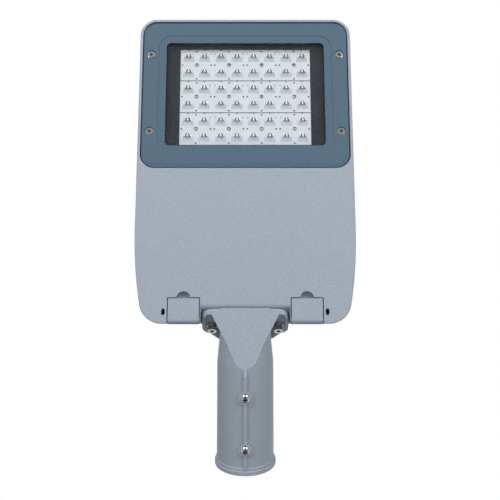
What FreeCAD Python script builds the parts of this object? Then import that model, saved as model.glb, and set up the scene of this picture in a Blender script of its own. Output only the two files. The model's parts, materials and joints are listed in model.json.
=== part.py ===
import FreeCAD, Part
import math
import os

import Sketcher
from FreeCAD import Placement, Rotation, Vector

# An LED street light head in millimetres, as it hangs in use: the light points to -Z, the front of
# the head to +Y, and the pole's arm enters the spigot from behind.
# Each piece is drawn in the head's own axes, where y = 0 is the rear edge of the housing and z = 0
# its light face. One placement then brings the middle of the spigot's mouth to the origin.
# A cut that opens a surface runs 1 mm past it.

SIZES = {
    # housing
    "head_length": 469,
    "head_width": 321.8,
    "side_bend_y": 137,
    "side_arc_radius": 640,
    "rear_corner_radius": 33,
    "front_corner_radius": 26,
    "face_edge_radius": 1.8,
    "face_thickness": 3.5,
    "shell_wall": 4,
    "draft_angle": 5.5,
    "parting_height": 62,
    "nose_height": 38,
    "slope_start_y": 232,
    # heat sink
    "fin_count": 20,
    "fin_thickness": 3,
    "sink_front_margin": 14,
    "sink_base_thickness": 4,
    "sink_clearance": 0.5,
    "sink_corner_radius": 15,
    "sink_screw_inset": 12,
    "sink_screw_seat": 4,
    "mount_face_depth": 21,
    "mount_thickness": 6,
    # driver bay
    "bay_rear_y": 52,
    "bay_front_y": 200,
    "bay_half_width": 134,
    "bay_corner_radius": 10,
    "throat_half_width": 36,
    "throat_wall": 7,
    "gasket_groove_width": 4,
    "gasket_groove_depth": 3,
    "seal_rib_margin": 1,
    "seal_clearance": 0.1,
    "wire_hole_radius": 5,
    # window frame
    "rim_width": 4.3,
    "frame_gap": 1.8,
    "frame_rear_y": 231.7,
    "frame_corner_radius": 20,
    "frame_face_depth": 0.8,
    "frame_thickness": 8,
    "frame_bevel_width": 5.5,
    "frame_bevel_depth": 1.2,
    "step_margin": 11.5,
    "step_depth": 0.7,
    "step_corner_radius": 20,
    "opening_width": 240.6,
    "opening_length": 165,
    "opening_centre_y": 347.7,
    "opening_corner_radius": 7,
    "frame_screw_x": 143.5,
    "frame_screw_rear_y": 287.5,
    "frame_screw_spacing_y": 123.1,
    "counterbore_radius": 6.8,
    "counterbore_depth": 3,
    # glass, gasket and mask
    "glass_thickness": 4,
    "glass_lap": 6,
    "glass_clearance": 0.5,
    "gasket_thickness": 1.2,
    "cavity_margin": 3,
    "mask_thickness": 1.2,
    "mask_floor_depth": 17.6,
    "mask_clearance": 0.6,
    # light modules
    "column_count": 4,
    "column_pitch": 50,
    "row_pitch": 52,
    "module_shift_y": 1.3,
    "block_gap_x": 0.5,
    "block_gap_y": 1.2,
    "board_thickness": 1.6,
    "block_base_thickness": 2.6,
    "lens_pitch_x": 24.6,
    "lens_pitch_y": 25.4,
    "lens_radius": 7.4,
    "lens_height": 4.4,
    "lens_flat_y": -0.5,
    "lens_hollow_radius": 3.6,
    "lens_hollow_depth": 2.2,
    "strip_half_width": 8.65,
    "strip_rib_width": 0.8,
    "strip_rib_height": 1,
    "strip_rib_pitch": 1.6,
    "strip_first_rib_y": -2,
    "strip_rib_count": 4,
    "chip_width": 3.5,
    "chip_height": 0.8,
    "chip_offset_y": 1.7,
    "module_screw_radius": 1.5,
    "module_head_radius": 2.8,
    "module_head_height": 1.6,
    "module_bore_radius": 3.2,
    "module_bore_depth": 1.2,
    # frame screws, M6 with a flanged cap head
    "frame_bolt_radius": 3,
    "frame_bolt_length": 16,
    "frame_head_radius": 5.2,
    "frame_head_height": 3.4,
    "frame_flange_radius": 6.2,
    "frame_flange_thickness": 1,
    "frame_socket_width": 5,
    "frame_socket_depth": 2.4,
    # top lid
    "lid_front_y": 213,
    "lid_gap": 0.3,
    "lid_height": 22,
    "lid_wall": 3.5,
    "lid_edge_radius": 9,
    "hinge_y": 221,
    "hinge_height": 70,
    "hinge_x": 95,
    "hinge_pin_radius": 2.5,
    "hinge_knuckle_radius": 5.5,
    "hinge_knuckle_width": 20,
    "hinge_ear_width": 8,
    "hinge_side_gap": 0.3,
    "pin_clearance": 0.05,
    # latches
    "latch_centre_x": 88.1,
    "latch_width": 44.4,
    "latch_length": 36.5,
    "latch_thickness": 3,
    "latch_barrel_radius": 7,
    "latch_gap": 1.3,
    "latch_recess_depth": 6,
    "latch_edge_round": 0.8,
    "latch_pin_radius": 2,
    "latch_pin_seat": 4.2,
    "latch_web_seat": 1,
    "channel_rear_y": 9.5,
    "channel_face_y": 31,
    "channel_front_y": 42,
    "channel_step_height": 11,
    "channel_half_width": 19,
    "arm_half_width": 17.5,
    "arm_height": 34,
    "arm_thickness": 3,
    "arm_elbow_height": 20,
    "arm_lean": 1.8,
    "arm_foot_reach": 4.9,
    "arm_foot_shift": 1.75,
    "nose_length": 3,
    "tongue_y": 15.5,
    "tongue_thickness": 2.5,
    "tongue_tip_height": 22,
    "ledge_reach": 2.5,
    "ledge_thickness": 3,
    "nose_clearance": 0.3,
    "finger_radius": 10,
    "finger_depth": 8.5,
    "drain_slot_x": 117,
    "drain_slot_y": 17.2,
    "drain_slot_length": 9.4,
    "drain_slot_width": 5.4,
    "drain_slot_depth": 40,
    # seat of the spigot on the housing
    "flange_tilt": 24,
    "flange_y": 22.7,
    "flange_half_width": 62.2,
    "flange_height": 56,
    "flange_corner_radius": 16,
    "flange_arch": 3,
    "flange_thickness": 11.3,
    "bolt_seat_depth": 3,
    "seat_gasket": 1,
    "seat_gasket_inset": 2,
    "recess_half_width": 64,
    "recess_front_y": 28.4,
    "recess_round_radius": 7.7,
    "recess_round_height": 4.5,
    # spigot tube, measured along its axis from the mouth
    "tube_tilt": 21,
    "tip_y": -63.4,
    "tube_length": 159,
    "tube_tip_radius": 40.7,
    "tube_mouth_radius": 42.4,
    "neck_radius": 37,
    "neck_distance": 194.4,
    "neck_end": 240,
    "flare_radius": 45.4,
    "flare_step_radius": 43.8,
    "flare_length": 11.5,
    "flare_step_length": 7,
    "mouth_round": 1.4,
    "bore_radius": 32,
    "bore_depth": 110,
    "bore_cone_length": 18,
    "inner_radius": 21,
    "inner_depth": 164,
    "passage_radius": 14,
    "passage_length": 20,
    "passage_height": 32,
    # throat of the spigot arm
    "wedge_front_y": 13.6,
    "wedge_front_half_width": 48,
    "wedge_rear_y": -29.9,
    "wedge_rear_half_width": 25.4,
    "wedge_tip_half_width": 17.6,
    "wedge_tip_radius": 18,
    "wedge_height": 36,
    "gusset_front_half_width": 60.5,
    "gusset_rear_half_width": 37,
    "gusset_front_y": -4,
    "gusset_rear_y": -19,
    "gusset_low": 41,
    "gusset_high": 58,
    "rib_width": 5,
    "rib_height": 2.4,
    # flange bolts, M8 socket cap screws
    "bolt_x": 48,
    "bolt_height": 33,
    "bolt_radius": 4,
    "bolt_grip": 10,
    "bolt_tip_room": 6,
    "bolt_head_radius": 6.5,
    "bolt_head_height": 8,
    "bolt_socket_width": 6,
    "bolt_socket_depth": 4,
    "bolt_hole_clearance": 0.4,
    "bolt_pocket_radius": 9,
    "bolt_pocket_reach": 60,
    "flat_washer_radius": 8,
    "flat_washer_thickness": 1.6,
    "spring_washer_radius": 7.4,
    "spring_washer_thickness": 2,
    # clamp screws, M8 button heads
    "clamp_front_distance": 118.3,
    "clamp_rear_distance": 40,
    "clamp_boss_radius": 10,
    "clamp_boss_height": 3,
    "clamp_screw_radius": 4,
    "clamp_head_radius": 6.8,
    "clamp_head_height": 4.2,
    "clamp_socket_width": 5,
    "clamp_socket_depth": 2.4,
    # pieces in the driver bay
    "tray_thickness": 1.5,
    "tray_post_height": 5,
    "tray_post_radius": 5,
    "tray_half_width": 118,
    "tray_rear_y": 66,
    "tray_length": 126,
    "tray_screw_inset": 8,
    "small_screw_radius": 2,
    "small_head_radius": 3.6,
    "small_head_height": 2.4,
    "driver_x": -28,
    "driver_y": 84,
    "driver_length": 150,
    "driver_width": 68,
    "driver_height": 38,
    "driver_corner_radius": 3,
    "driver_foot_length": 12,
    "driver_foot_thickness": 2.5,
    "terminal_x": 62,
    "terminal_y": 82,
    "terminal_length": 42,
    "terminal_width": 22,
    "terminal_height": 20,
    "box_corner_radius": 1.5,
    "surge_y": 132,
    "surge_length": 44,
    "surge_width": 30,
    "surge_height": 27,
    "gland_hex_width": 24,
    "gland_hex_thickness": 6,
    "gland_thread_radius": 9.8,
    "gland_cap_radius": 12,
    "gland_cap_length": 14,
    "gland_bore_radius": 5.5,
}


class Size:
    """A length in millimetres or an angle in degrees: its number, and its formula in the sheet."""

    def __init__(self, value, formula=None):
        self.value = float(value)
        self.formula = formula or "%.6f" % self.value

    def __add__(self, other):
        return joined(self, "+", other)

    def __radd__(self, other):
        return joined(other, "+", self)

    def __sub__(self, other):
        return joined(self, "-", other)

    def __rsub__(self, other):
        return joined(other, "-", self)

    def __mul__(self, other):
        return joined(self, "*", other)

    def __rmul__(self, other):
        return joined(other, "*", self)

    def __truediv__(self, other):
        return joined(self, "/", other)

    def __neg__(self):
        return joined(0, "-", self)


def as_size(value):
    return value if isinstance(value, Size) else Size(value)


def joined(first, sign, second):
    """The sum, difference, product or quotient of two sizes, as a number and as a formula."""
    first, second = as_size(first), as_size(second)
    a, b = first.value, second.value
    results = {"+": a + b, "-": a - b, "*": a * b, "/": a / b if b else 0.0}
    return Size(results[sign], "(%s %s %s)" % (first.formula, sign, second.formula))


def sine(angle):
    return Size(math.sin(math.radians(angle.value)), "sin(%s)" % angle.formula)


def cosine(angle):
    return Size(math.cos(math.radians(angle.value)), "cos(%s)" % angle.formula)


def tangent(angle):
    return Size(math.tan(math.radians(angle.value)), "tan(%s)" % angle.formula)


def root(size):
    return Size(math.sqrt(size.value), "sqrt(%s)" % size.formula)


class SizeSheet:
    """The spreadsheet of driving sizes. Each one is also an attribute of this object."""

    def __init__(self, doc, sizes):
        sheet = doc.addObject("Spreadsheet::Sheet", "Sizes")
        for row, (alias, value) in enumerate(sizes.items(), 1):
            sheet.set("A%d" % row, alias.replace("_", " "))
            sheet.set("B%d" % row, str(value))
            sheet.setAlias("B%d" % row, alias)
            setattr(self, alias, Size(value, "Sizes." + alias))


doc = FreeCAD.newDocument("StreetLightHead")
s = SizeSheet(doc, SIZES)
doc.recompute()

ROW_NAMES = ("rear", "middle", "front")
ROW_COUNT = len(ROW_NAMES)

# Places that several pieces share
half_width = s.head_width / 2
top_inset = s.parting_height * tangent(s.draft_angle)
frame_half_width = half_width - s.rim_width - s.frame_gap
frame_front_y = s.head_length - s.rim_width - s.frame_gap
frame_back_depth = s.frame_face_depth + s.frame_thickness
ledge_depth = frame_back_depth + s.gasket_thickness
glass_face_depth = frame_back_depth - s.glass_thickness
opening_half_width = s.opening_width / 2
opening_rear_y = s.opening_centre_y - s.opening_length / 2
opening_front_y = s.opening_centre_y + s.opening_length / 2
board_face_depth = s.mount_face_depth - s.board_thickness
block_face_depth = board_face_depth - s.block_base_thickness
fin_base_height = s.mount_face_depth + s.mount_thickness
module_half_width = s.column_pitch * s.column_count / 2
module_half_length = s.row_pitch * ROW_COUNT / 2
module_centre_y = s.opening_centre_y + s.module_shift_y
latch_pivot_y = s.latch_barrel_radius
latch_pivot_z = s.latch_barrel_radius
mouth_y = s.tip_y + s.tube_tip_radius * sine(s.tube_tilt) - s.tube_length * cosine(s.tube_tilt)
mouth_z = s.tube_tip_radius * cosine(s.tube_tilt) + s.tube_length * sine(s.tube_tilt)
seat_y = s.flange_y + s.seat_gasket / cosine(s.flange_tilt)
tray_height = s.face_thickness + s.tray_post_height
bolt_seat = s.flange_thickness - s.bolt_seat_depth
sink_half_width = half_width - top_inset - s.shell_wall - s.sink_clearance
sink_rear_y = s.slope_start_y + s.shell_wall + s.sink_clearance
sink_front_y = s.head_length - s.sink_front_margin - s.sink_clearance
fin_pitch = (sink_half_width * 2 - s.fin_thickness) / s.fin_count
sink_screw_x = sink_half_width - s.fin_thickness / 2 - fin_pitch * 1.5


# Sketches and features, tied to the sheet

def bind(thing, name, size):
    thing.setExpression(name, as_size(size).formula)


def origin_part(body, role):
    """One of the body's own origin planes or axes."""
    return [part for part in body.Origin.OriginFeatures if part.Role == role][0]


def piece(label):
    """An empty body whose placement brings the spigot's mouth to the origin."""
    body = doc.addObject("PartDesign::Body", label)
    body.Label = label
    bind(body, "Placement.Base.y", -mouth_y)
    bind(body, "Placement.Base.z", -mouth_z)
    return body


def sketch_on(body, role, shift=(0, 0, 0), turn_axis=Vector(1, 0, 0), turn=0):
    """A sketch on an origin plane, moved by shift and turned about turn_axis in that plane's axes."""
    sketch = body.newObject("Sketcher::SketchObject", body.Name + "_sketch")
    sketch.AttachmentSupport = [(origin_part(body, role), "")]
    sketch.MapMode = "FlatFace"
    angle = as_size(turn)
    sketch.AttachmentOffset = Placement(Vector(0, 0, 0), Rotation(turn_axis, angle.value or 1))
    bind(sketch, "AttachmentOffset.Rotation.Angle", angle)
    for name, distance in zip("xyz", shift):
        bind(sketch, "AttachmentOffset.Base." + name, distance)
    return sketch


def flat_sketch(body, height=0):
    """A sketch parallel to the light face, in x and y."""
    return sketch_on(body, "XY_Plane", (0, 0, height))


def side_sketch(body, x=0):
    """A sketch in the head's y and z, at the given x."""
    return sketch_on(body, "YZ_Plane", (0, 0, x))


def flange_sketch(body, distance=0):
    """A sketch parallel to the spigot's seat, in x and the height up the seat, facing the pole."""
    shift_y = -sine(s.flange_tilt) * distance
    shift_z = cosine(s.flange_tilt) * distance - s.flange_y
    return sketch_on(body, "XZ_Plane", (0, shift_y, shift_z), Vector(1, 0, 0), s.flange_tilt)


def tube_section_sketch(body):
    """A sketch through the tube's axis, in the distance from the mouth and the radius."""
    return sketch_on(body, "YZ_Plane", (mouth_y, mouth_z, 0), Vector(0, 0, 1), -s.tube_tilt)


def tube_side_sketch(body):
    """A sketch through the tube's axis, in x and the distance from the mouth, facing up."""
    return sketch_on(body, "XY_Plane", (0, mouth_y, mouth_z), Vector(1, 0, 0), -s.tube_tilt)


def point(pair):
    return Vector(as_size(pair[0]).value, as_size(pair[1]).value, 0)


def hold(sketch, kind, *arguments):
    """Adds a constraint whose size, the last argument, follows the sheet."""
    size = as_size(arguments[-1])
    number = sketch.addConstraint(Sketcher.Constraint(kind, *arguments[:-1], size.value))
    bind(sketch, "Constraints[%d]" % number, size)


def hold_point(sketch, edge, end, place):
    hold(sketch, "DistanceX", -1, 1, edge, end, place[0])
    hold(sketch, "DistanceY", -1, 1, edge, end, place[1])


def path(sketch, steps):
    """A closed outline, drawn anticlockwise. A step is where an edge starts, and an arc's centre."""
    edges = []
    for index, step in enumerate(steps):
        start, end = point(step[0]), point(steps[(index + 1) % len(steps)][0])
        if len(step) == 1:
            edges.append((sketch.addGeometry(Part.LineSegment(start, end)), 1, 2))
            continue
        centre = point(step[1])
        circle = Part.Circle(centre, Vector(0, 0, 1), centre.distanceToPoint(start))
        from_angle = math.atan2(start.y - centre.y, start.x - centre.x)
        to_angle = math.atan2(end.y - centre.y, end.x - centre.x)
        edge = sketch.addGeometry(Part.ArcOfCircle(circle, from_angle, to_angle))
        if abs(end.x - start.x) > abs(end.y - start.y):
            hold(sketch, "DistanceY", -1, 1, edge, 3, step[1][1])
        else:
            hold(sketch, "DistanceX", -1, 1, edge, 3, step[1][0])
        edges.append((edge, 1, 2))
    for index, (edge, start, end) in enumerate(edges):
        next_edge, next_start, _ = edges[(index + 1) % len(edges)]
        hold_point(sketch, edge, start, steps[index][0])
        sketch.addConstraint(Sketcher.Constraint("Coincident", edge, end, next_edge, next_start))
    return sketch


def polygon(sketch, points):
    return path(sketch, [(place,) for place in points])


def box(sketch, left, right, low, high):
    return polygon(sketch, [(left, low), (right, low), (right, high), (left, high)])


def rounded_box(sketch, left, right, low, high, radius):
    r = radius
    return path(sketch, [
        ((left + r, low),),
        ((right - r, low), (right - r, low + r)),
        ((right, low + r),),
        ((right, high - r), (right - r, high - r)),
        ((right - r, high),),
        ((left + r, high), (left + r, high - r)),
        ((left, high - r),),
        ((left, low + r), (left + r, low + r)),
    ])


def slot(sketch, x, low, high, radius):
    """A slot along the sketch's upright axis with round ends."""
    return path(sketch, [
        ((x + radius, low + radius),),
        ((x + radius, high - radius), (x, high - radius)),
        ((x - radius, high - radius),),
        ((x - radius, low + radius), (x, low + radius)),
    ])


def ring(sketch, x, y, radius):
    edge = sketch.addGeometry(Part.Circle(point((x, y)), Vector(0, 0, 1), as_size(radius).value))
    hold(sketch, "Radius", edge, radius)
    hold_point(sketch, edge, 3, (x, y))
    return sketch


def hexagon(sketch, x, y, across_flats):
    """A hexagon round (x, y), with two flats upright."""
    corner = across_flats / cosine(Size(30)) / 2
    half_flat = across_flats / 2
    return polygon(sketch, [
        (x, y - corner), (x + half_flat, y - corner / 2), (x + half_flat, y + corner / 2),
        (x, y + corner), (x - half_flat, y + corner / 2), (x - half_flat, y - corner / 2),
    ])


def add_feature(body, kind, sketch):
    feature = body.newObject("PartDesign::" + kind, body.Name + "_" + kind)
    if sketch is not None:
        feature.Profile = sketch
    body.Tip = feature
    return feature


def pad(body, sketch, length, back=False, both_ways=False, taper=0):
    """Adds material along the sketch's normal, against it, or half each way."""
    feature = add_feature(body, "Pad", sketch)
    bind(feature, "Length", length)
    feature.Reversed = back
    if both_ways:
        feature.SideType = "Symmetric"
    if taper:
        bind(feature, "TaperAngle", taper)
    return feature


def pocket(body, sketch, length, along=True, both_ways=False):
    """Cuts along the sketch's normal, against it, or half each way, and checks that it did."""
    doc.recompute()
    before = body.Shape.Volume
    feature = add_feature(body, "Pocket", sketch)
    bind(feature, "Length", length)
    feature.Reversed = along
    if both_ways:
        feature.SideType = "Symmetric"
    doc.recompute()
    if not body.Shape.Volume < before:
        raise RuntimeError("a pocket in %s cuts nothing" % body.Label)
    return feature


def turned(body, sketch, axis="H_Axis", cut=False):
    """Material turned, or cut, all round an axis of the sketch."""
    feature = add_feature(body, "Groove" if cut else "Revolution", sketch)
    feature.ReferenceAxis = (sketch, [axis])
    feature.Angle = 360
    return feature


def mirrored(body, features):
    """Repeats features on the other side of the head's middle plane."""
    copy = add_feature(body, "Mirrored", None)
    copy.Originals = features
    copy.MirrorPlane = (origin_part(body, "YZ_Plane"), [""])
    body.Tip = copy
    return copy


def repeated(body, features, count_x, pitch_x, count_y=1, pitch_y=0):
    """Repeats features in columns along x and rows along y."""
    copy = add_feature(body, "LinearPattern", None)
    copy.Originals = features
    copy.Direction = (origin_part(body, "X_Axis"), [""])
    bind(copy, "Length", pitch_x * (count_x - 1))
    bind(copy, "Occurrences", count_x)
    if count_y > 1:
        copy.Direction2 = (origin_part(body, "Y_Axis"), [""])
        bind(copy, "Length2", pitch_y * (count_y - 1))
        bind(copy, "Occurrences2", count_y)
    body.Tip = copy
    return copy


def edges_where(feature, wanted):
    """Names of the feature's edges whose bounding box passes the test."""
    doc.recompute()
    names = []
    for number, edge in enumerate(feature.Shape.Edges, 1):
        if wanted(edge.BoundBox):
            names.append("Edge%d" % number)
    return names


def fillet(body, feature, radius, wanted):
    names = edges_where(feature, wanted)
    rounded = add_feature(body, "Fillet", None)
    rounded.Base = (feature, names)
    bind(rounded, "Radius", radius)
    return rounded


def chamfer(body, feature, size, second_size, wanted, flip=False):
    names = edges_where(feature, wanted)
    bevel = add_feature(body, "Chamfer", None)
    bevel.Base = (feature, names)
    bevel.ChamferType = "Two distances"
    bind(bevel, "Size", size)
    bind(bevel, "Size2", second_size)
    bevel.FlipDirection = flip
    return bevel


def level(height):
    """A test for edges that lie flat at a height."""
    number = as_size(height).value
    return lambda bounds: abs(bounds.ZMin - number) < 0.001 and abs(bounds.ZMax - number) < 0.001


# Outlines that several pieces share

def head_outline(sketch, inset=0, cut_y=None):
    """The head seen from below: a straight front, bowed rear sides and four round corners.

    With cut_y the outline stops there with square corners, as the lid does."""
    r = s.rear_corner_radius
    arc = s.side_arc_radius
    f = s.front_corner_radius
    arc_x = half_width - arc
    drop = s.side_bend_y - r
    corner_x = arc_x + root((arc - r) * (arc - r) - drop * drop)
    lean_x = (corner_x - arc_x) / (arc - r)
    lean_y = drop / (arc - r)
    meet_x = corner_x + lean_x * (r - inset)
    meet_y = r - lean_y * (r - inset)
    rear_y = as_size(inset)
    front_y = s.head_length - inset
    side_x = half_width - inset
    front_centre_y = s.head_length - f
    front_centre_x = half_width - f
    rear_right = [
        ((-corner_x, rear_y),),
        ((corner_x, rear_y), (corner_x, r)),
        ((meet_x, meet_y), (arc_x, s.side_bend_y)),
        ((side_x, s.side_bend_y),),
    ]
    rear_left = [
        ((-side_x, s.side_bend_y), (-arc_x, s.side_bend_y)),
        ((-meet_x, meet_y), (-corner_x, r)),
    ]
    if cut_y is None:
        front = [
            ((side_x, front_centre_y), (front_centre_x, front_centre_y)),
            ((front_centre_x, front_y),),
            ((-front_centre_x, front_y), (-front_centre_x, front_centre_y)),
            ((-side_x, front_centre_y),),
        ]
    else:
        front = [((side_x, cut_y),), ((-side_x, cut_y),)]
    return path(sketch, rear_right + front + rear_left)


def window_outline(sketch, margin, radius):
    """A rounded rectangle round the window opening, larger than it by margin on each side."""
    return rounded_box(
        sketch, -opening_half_width - margin, opening_half_width + margin,
        opening_rear_y - margin, opening_front_y + margin, as_size(radius))


def frame_outline(sketch, gap):
    """The outer edge of the window frame, larger than it by gap on each side."""
    return rounded_box(
        sketch, -frame_half_width - gap, frame_half_width + gap,
        s.frame_rear_y - gap, frame_front_y + gap, s.frame_corner_radius + gap)


def bay_outline(sketch, margin):
    """The driver bay's mouth, larger than it by margin on each side."""
    half = s.bay_half_width
    return rounded_box(
        sketch, -half - margin, half + margin, s.bay_rear_y - margin,
        s.bay_front_y + margin, s.bay_corner_radius + margin)


def flange_outline(sketch, inset=0):
    """The spigot's flange, in x and the height up its seat, with a slightly arched lower edge."""
    r = s.flange_corner_radius
    side = s.flange_half_width - inset
    low = s.flange_arch + inset
    top = s.flange_height - inset
    corner = r - inset
    inner_x = s.flange_half_width - r
    arch_radius = (inner_x * inner_x + s.flange_arch * s.flange_arch) / (2 * s.flange_arch)
    low_centre = s.flange_arch + r
    top_centre = s.flange_height - r
    return path(sketch, [
        ((-inner_x, low), (Size(0), arch_radius + inset)),
        ((inner_x, low), (inner_x, low_centre)),
        ((side, low_centre),),
        ((side, top_centre), (inner_x, top_centre)),
        ((inner_x, top),),
        ((-inner_x, top), (-inner_x, top_centre)),
        ((-side, top_centre),),
        ((-side, low_centre), (-inner_x, low_centre)),
    ])


# Housing

def housing():
    """The die-cast housing: shell, window pocket, driver bay, latch channels and spigot seat."""
    body = piece("housing")
    base = pad(
        body, head_outline(flat_sketch(body)), s.parting_height, taper=-s.draft_angle)
    fillet(body, base, s.face_edge_radius, level(0))
    cut_sloping_top(body)
    cut_window_pockets(body)
    cut_sink_seat(body)
    cut_driver_bay(body)
    add_tray_posts(body)
    cut_latch_seats(body)
    add_spigot_seat(body)
    add_hinge_ears(body)
    return body


def cut_sloping_top(body):
    above = s.parting_height + 1
    outline = polygon(side_sketch(body), [
        (s.slope_start_y, s.parting_height), (s.head_length + 1, s.nose_height),
        (s.head_length + 1, above), (s.slope_start_y, above),
    ])
    pocket(body, outline, s.head_width + 2, both_ways=True)


def cut_window_pockets(body):
    pocket(body, frame_outline(flat_sketch(body), s.frame_gap), ledge_depth)
    cavity = window_outline(flat_sketch(body), s.cavity_margin, s.opening_corner_radius)
    pocket(body, cavity, s.mount_face_depth)
    hole = ring(
        flat_sketch(body), -s.frame_screw_x, s.frame_screw_rear_y, s.frame_bolt_radius)
    depth = s.frame_face_depth + s.counterbore_depth + s.frame_bolt_length
    first = pocket(body, hole, depth)
    repeated(body, [first], 2, s.frame_screw_x * 2, 2, s.frame_screw_spacing_y)


def sink_outline(sketch, gap):
    """The heat sink seen from above, larger than it by gap on each side."""
    return rounded_box(
        sketch, -sink_half_width - gap, sink_half_width + gap, sink_rear_y - gap,
        sink_front_y + gap, s.sink_corner_radius + gap)


def sink_screw_holes(body, height, radius, depth, along):
    hole = ring(
        flat_sketch(body, height), -sink_screw_x, sink_rear_y + s.sink_screw_inset, radius)
    first = pocket(body, hole, depth, along)
    rows = sink_front_y - sink_rear_y - s.sink_screw_inset * 2
    repeated(body, [first], 2, sink_screw_x * 2, 2, rows)


def cut_sink_seat(body):
    outline = sink_outline(flat_sketch(body, s.parting_height), s.sink_clearance)
    pocket(body, outline, s.parting_height - fin_base_height, along=False)
    sink_screw_holes(body, fin_base_height, s.small_screw_radius, s.sink_screw_seat, False)


def cut_driver_bay(body):
    depth = s.parting_height - s.face_thickness
    pocket(body, bay_outline(flat_sketch(body, s.parting_height), 0), depth, along=False)
    cut_throat(body)
    cut_gasket_groove(body)
    wire_hole = ring(
        sketch_on(body, "XZ_Plane", (0, 0, -s.bay_front_y)), Size(0),
        (ledge_depth + s.mount_face_depth) / 2, s.wire_hole_radius)
    pocket(body, wire_hole, opening_rear_y - s.bay_front_y, along=False)


def cut_throat(body):
    """The way back from the bay to the slanted wall that the spigot is bolted to."""
    lean = tangent(s.flange_tilt)
    wall_y = seat_y + s.throat_wall / cosine(s.flange_tilt)
    low = s.face_thickness
    top = s.parting_height
    outline = polygon(side_sketch(body), [
        (s.bay_rear_y + 1, low), (s.bay_rear_y + 1, top + 1), (wall_y - top * lean, top + 1),
        (wall_y - top * lean, top), (wall_y - low * lean, low),
    ])
    pocket(body, outline, s.throat_half_width * 2, both_ways=True)


def cut_gasket_groove(body):
    """The groove for the lid's gasket, cut as a ring that leaves the inner wall standing."""
    sketch = flat_sketch(body, s.parting_height)
    bay_outline(sketch, s.shell_wall + s.gasket_groove_width)
    bay_outline(sketch, s.shell_wall)
    pocket(body, sketch, s.gasket_groove_depth, along=False)


def add_tray_posts(body):
    x = s.tray_half_width - s.tray_screw_inset
    y = s.tray_rear_y + s.tray_screw_inset
    post = ring(flat_sketch(body, s.face_thickness), -x, y, s.tray_post_radius)
    hole = ring(flat_sketch(body, s.face_thickness), -x, y, s.small_screw_radius)
    parts = [pad(body, post, s.tray_post_height), pocket(body, hole, s.tray_post_height)]
    repeated(body, parts, 2, x * 2, 2, s.tray_length - s.tray_screw_inset * 2)


def cut_latch_seats(body):
    gap = s.latch_gap
    left = s.latch_centre_x - s.latch_width / 2 - gap
    right = s.latch_centre_x + s.latch_width / 2 + gap
    recess = box(flat_sketch(body), left, right, Size(-1), s.latch_length + gap)
    cuts = [pocket(body, recess, s.latch_recess_depth)]
    for height, front_y in ((Size(0), s.channel_face_y), (s.channel_step_height, s.channel_front_y)):
        channel = box(
            flat_sketch(body, height), s.latch_centre_x - s.channel_half_width,
            s.latch_centre_x + s.channel_half_width, s.channel_rear_y, front_y)
        cuts.append(pocket(body, channel, s.parting_height - height))
    barrel = side_sketch(body, left)
    reach = s.latch_barrel_radius + gap
    path(barrel, [
        ((Size(-1), Size(-1)),),
        ((latch_pivot_y + reach, Size(-1)),),
        ((latch_pivot_y + reach, latch_pivot_z), (latch_pivot_y, latch_pivot_z)),
        ((latch_pivot_y, latch_pivot_z + reach),),
        ((Size(-1), latch_pivot_z + reach),),
    ])
    cuts.append(pocket(body, barrel, s.latch_width + gap * 2))
    finger = ring(flat_sketch(body), s.latch_centre_x, s.latch_length, s.finger_radius)
    cuts.append(pocket(body, finger, s.finger_depth))
    pin_hole = ring(
        side_sketch(body, left - s.latch_web_seat), latch_pivot_y, latch_pivot_z,
        s.latch_pin_radius)
    pin_length = right - left + s.latch_web_seat + s.latch_pin_seat
    cuts.append(pocket(body, pin_hole, pin_length))
    drain = slot(
        flat_sketch(body), s.drain_slot_x, s.drain_slot_y - s.drain_slot_length / 2,
        s.drain_slot_y + s.drain_slot_length / 2, s.drain_slot_width / 2)
    cuts.append(pocket(body, drain, s.drain_slot_depth))
    mirrored(body, cuts)


def add_spigot_seat(body):
    """The recess in the rear edge and the slanted boss that the spigot's flange is bolted to."""
    wide = s.recess_half_width
    recess = box(flat_sketch(body), -wide, wide, Size(-1), s.recess_front_y)
    pocket(body, recess, s.parting_height)
    lean = tangent(s.flange_tilt)
    low = s.recess_round_height
    front = s.recess_front_y
    boss = path(side_sketch(body), [
        ((front, Size(0)),),
        ((front + 1, Size(0)),),
        ((front + 1, s.parting_height),),
        ((seat_y - s.parting_height * lean, s.parting_height),),
        ((seat_y - low * lean, low), (front, s.recess_round_radius)),
    ])
    pad(body, boss, wide * 2, both_ways=True)
    cut_throat(body)
    bolt_hole = ring(flange_sketch(body, -s.seat_gasket), -s.bolt_x, s.bolt_height, s.bolt_radius)
    first = pocket(body, bolt_hole, s.bolt_grip + s.bolt_tip_room, along=False)
    mirrored(body, [first])
    gland_hole = ring(
        flange_sketch(body, -s.seat_gasket), Size(0), s.bolt_height, s.gland_thread_radius)
    pocket(body, gland_hole, s.throat_wall * 2, along=False)


def add_hinge_ears(body):
    """Two pairs of ears in front of the driver bay, which hold the lid's hinge pins."""
    inner = s.hinge_x - s.hinge_knuckle_width / 2 - s.hinge_side_gap
    added = []
    for start in (inner - s.hinge_ear_width, inner + s.hinge_knuckle_width + s.hinge_side_gap * 2):
        ear = side_sketch(body, start)
        hinge_ear_outline(ear, s.parting_height - 1)
        added.append(pad(body, ear, s.hinge_ear_width))
    mirrored(body, added)
    hole = ring(
        side_sketch(body, inner - s.hinge_ear_width), s.hinge_y, s.hinge_height,
        s.hinge_pin_radius)
    length = s.hinge_knuckle_width + (s.hinge_ear_width + s.hinge_side_gap) * 2
    first = pocket(body, hole, length)
    mirrored(body, [first])


def hinge_ear_outline(sketch, foot):
    r = s.hinge_knuckle_radius
    return path(sketch, [
        ((s.hinge_y - r, foot),),
        ((s.hinge_y + r, foot),),
        ((s.hinge_y + r, s.hinge_height), (s.hinge_y, s.hinge_height)),
        ((s.hinge_y - r, s.hinge_height),),
    ])


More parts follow.
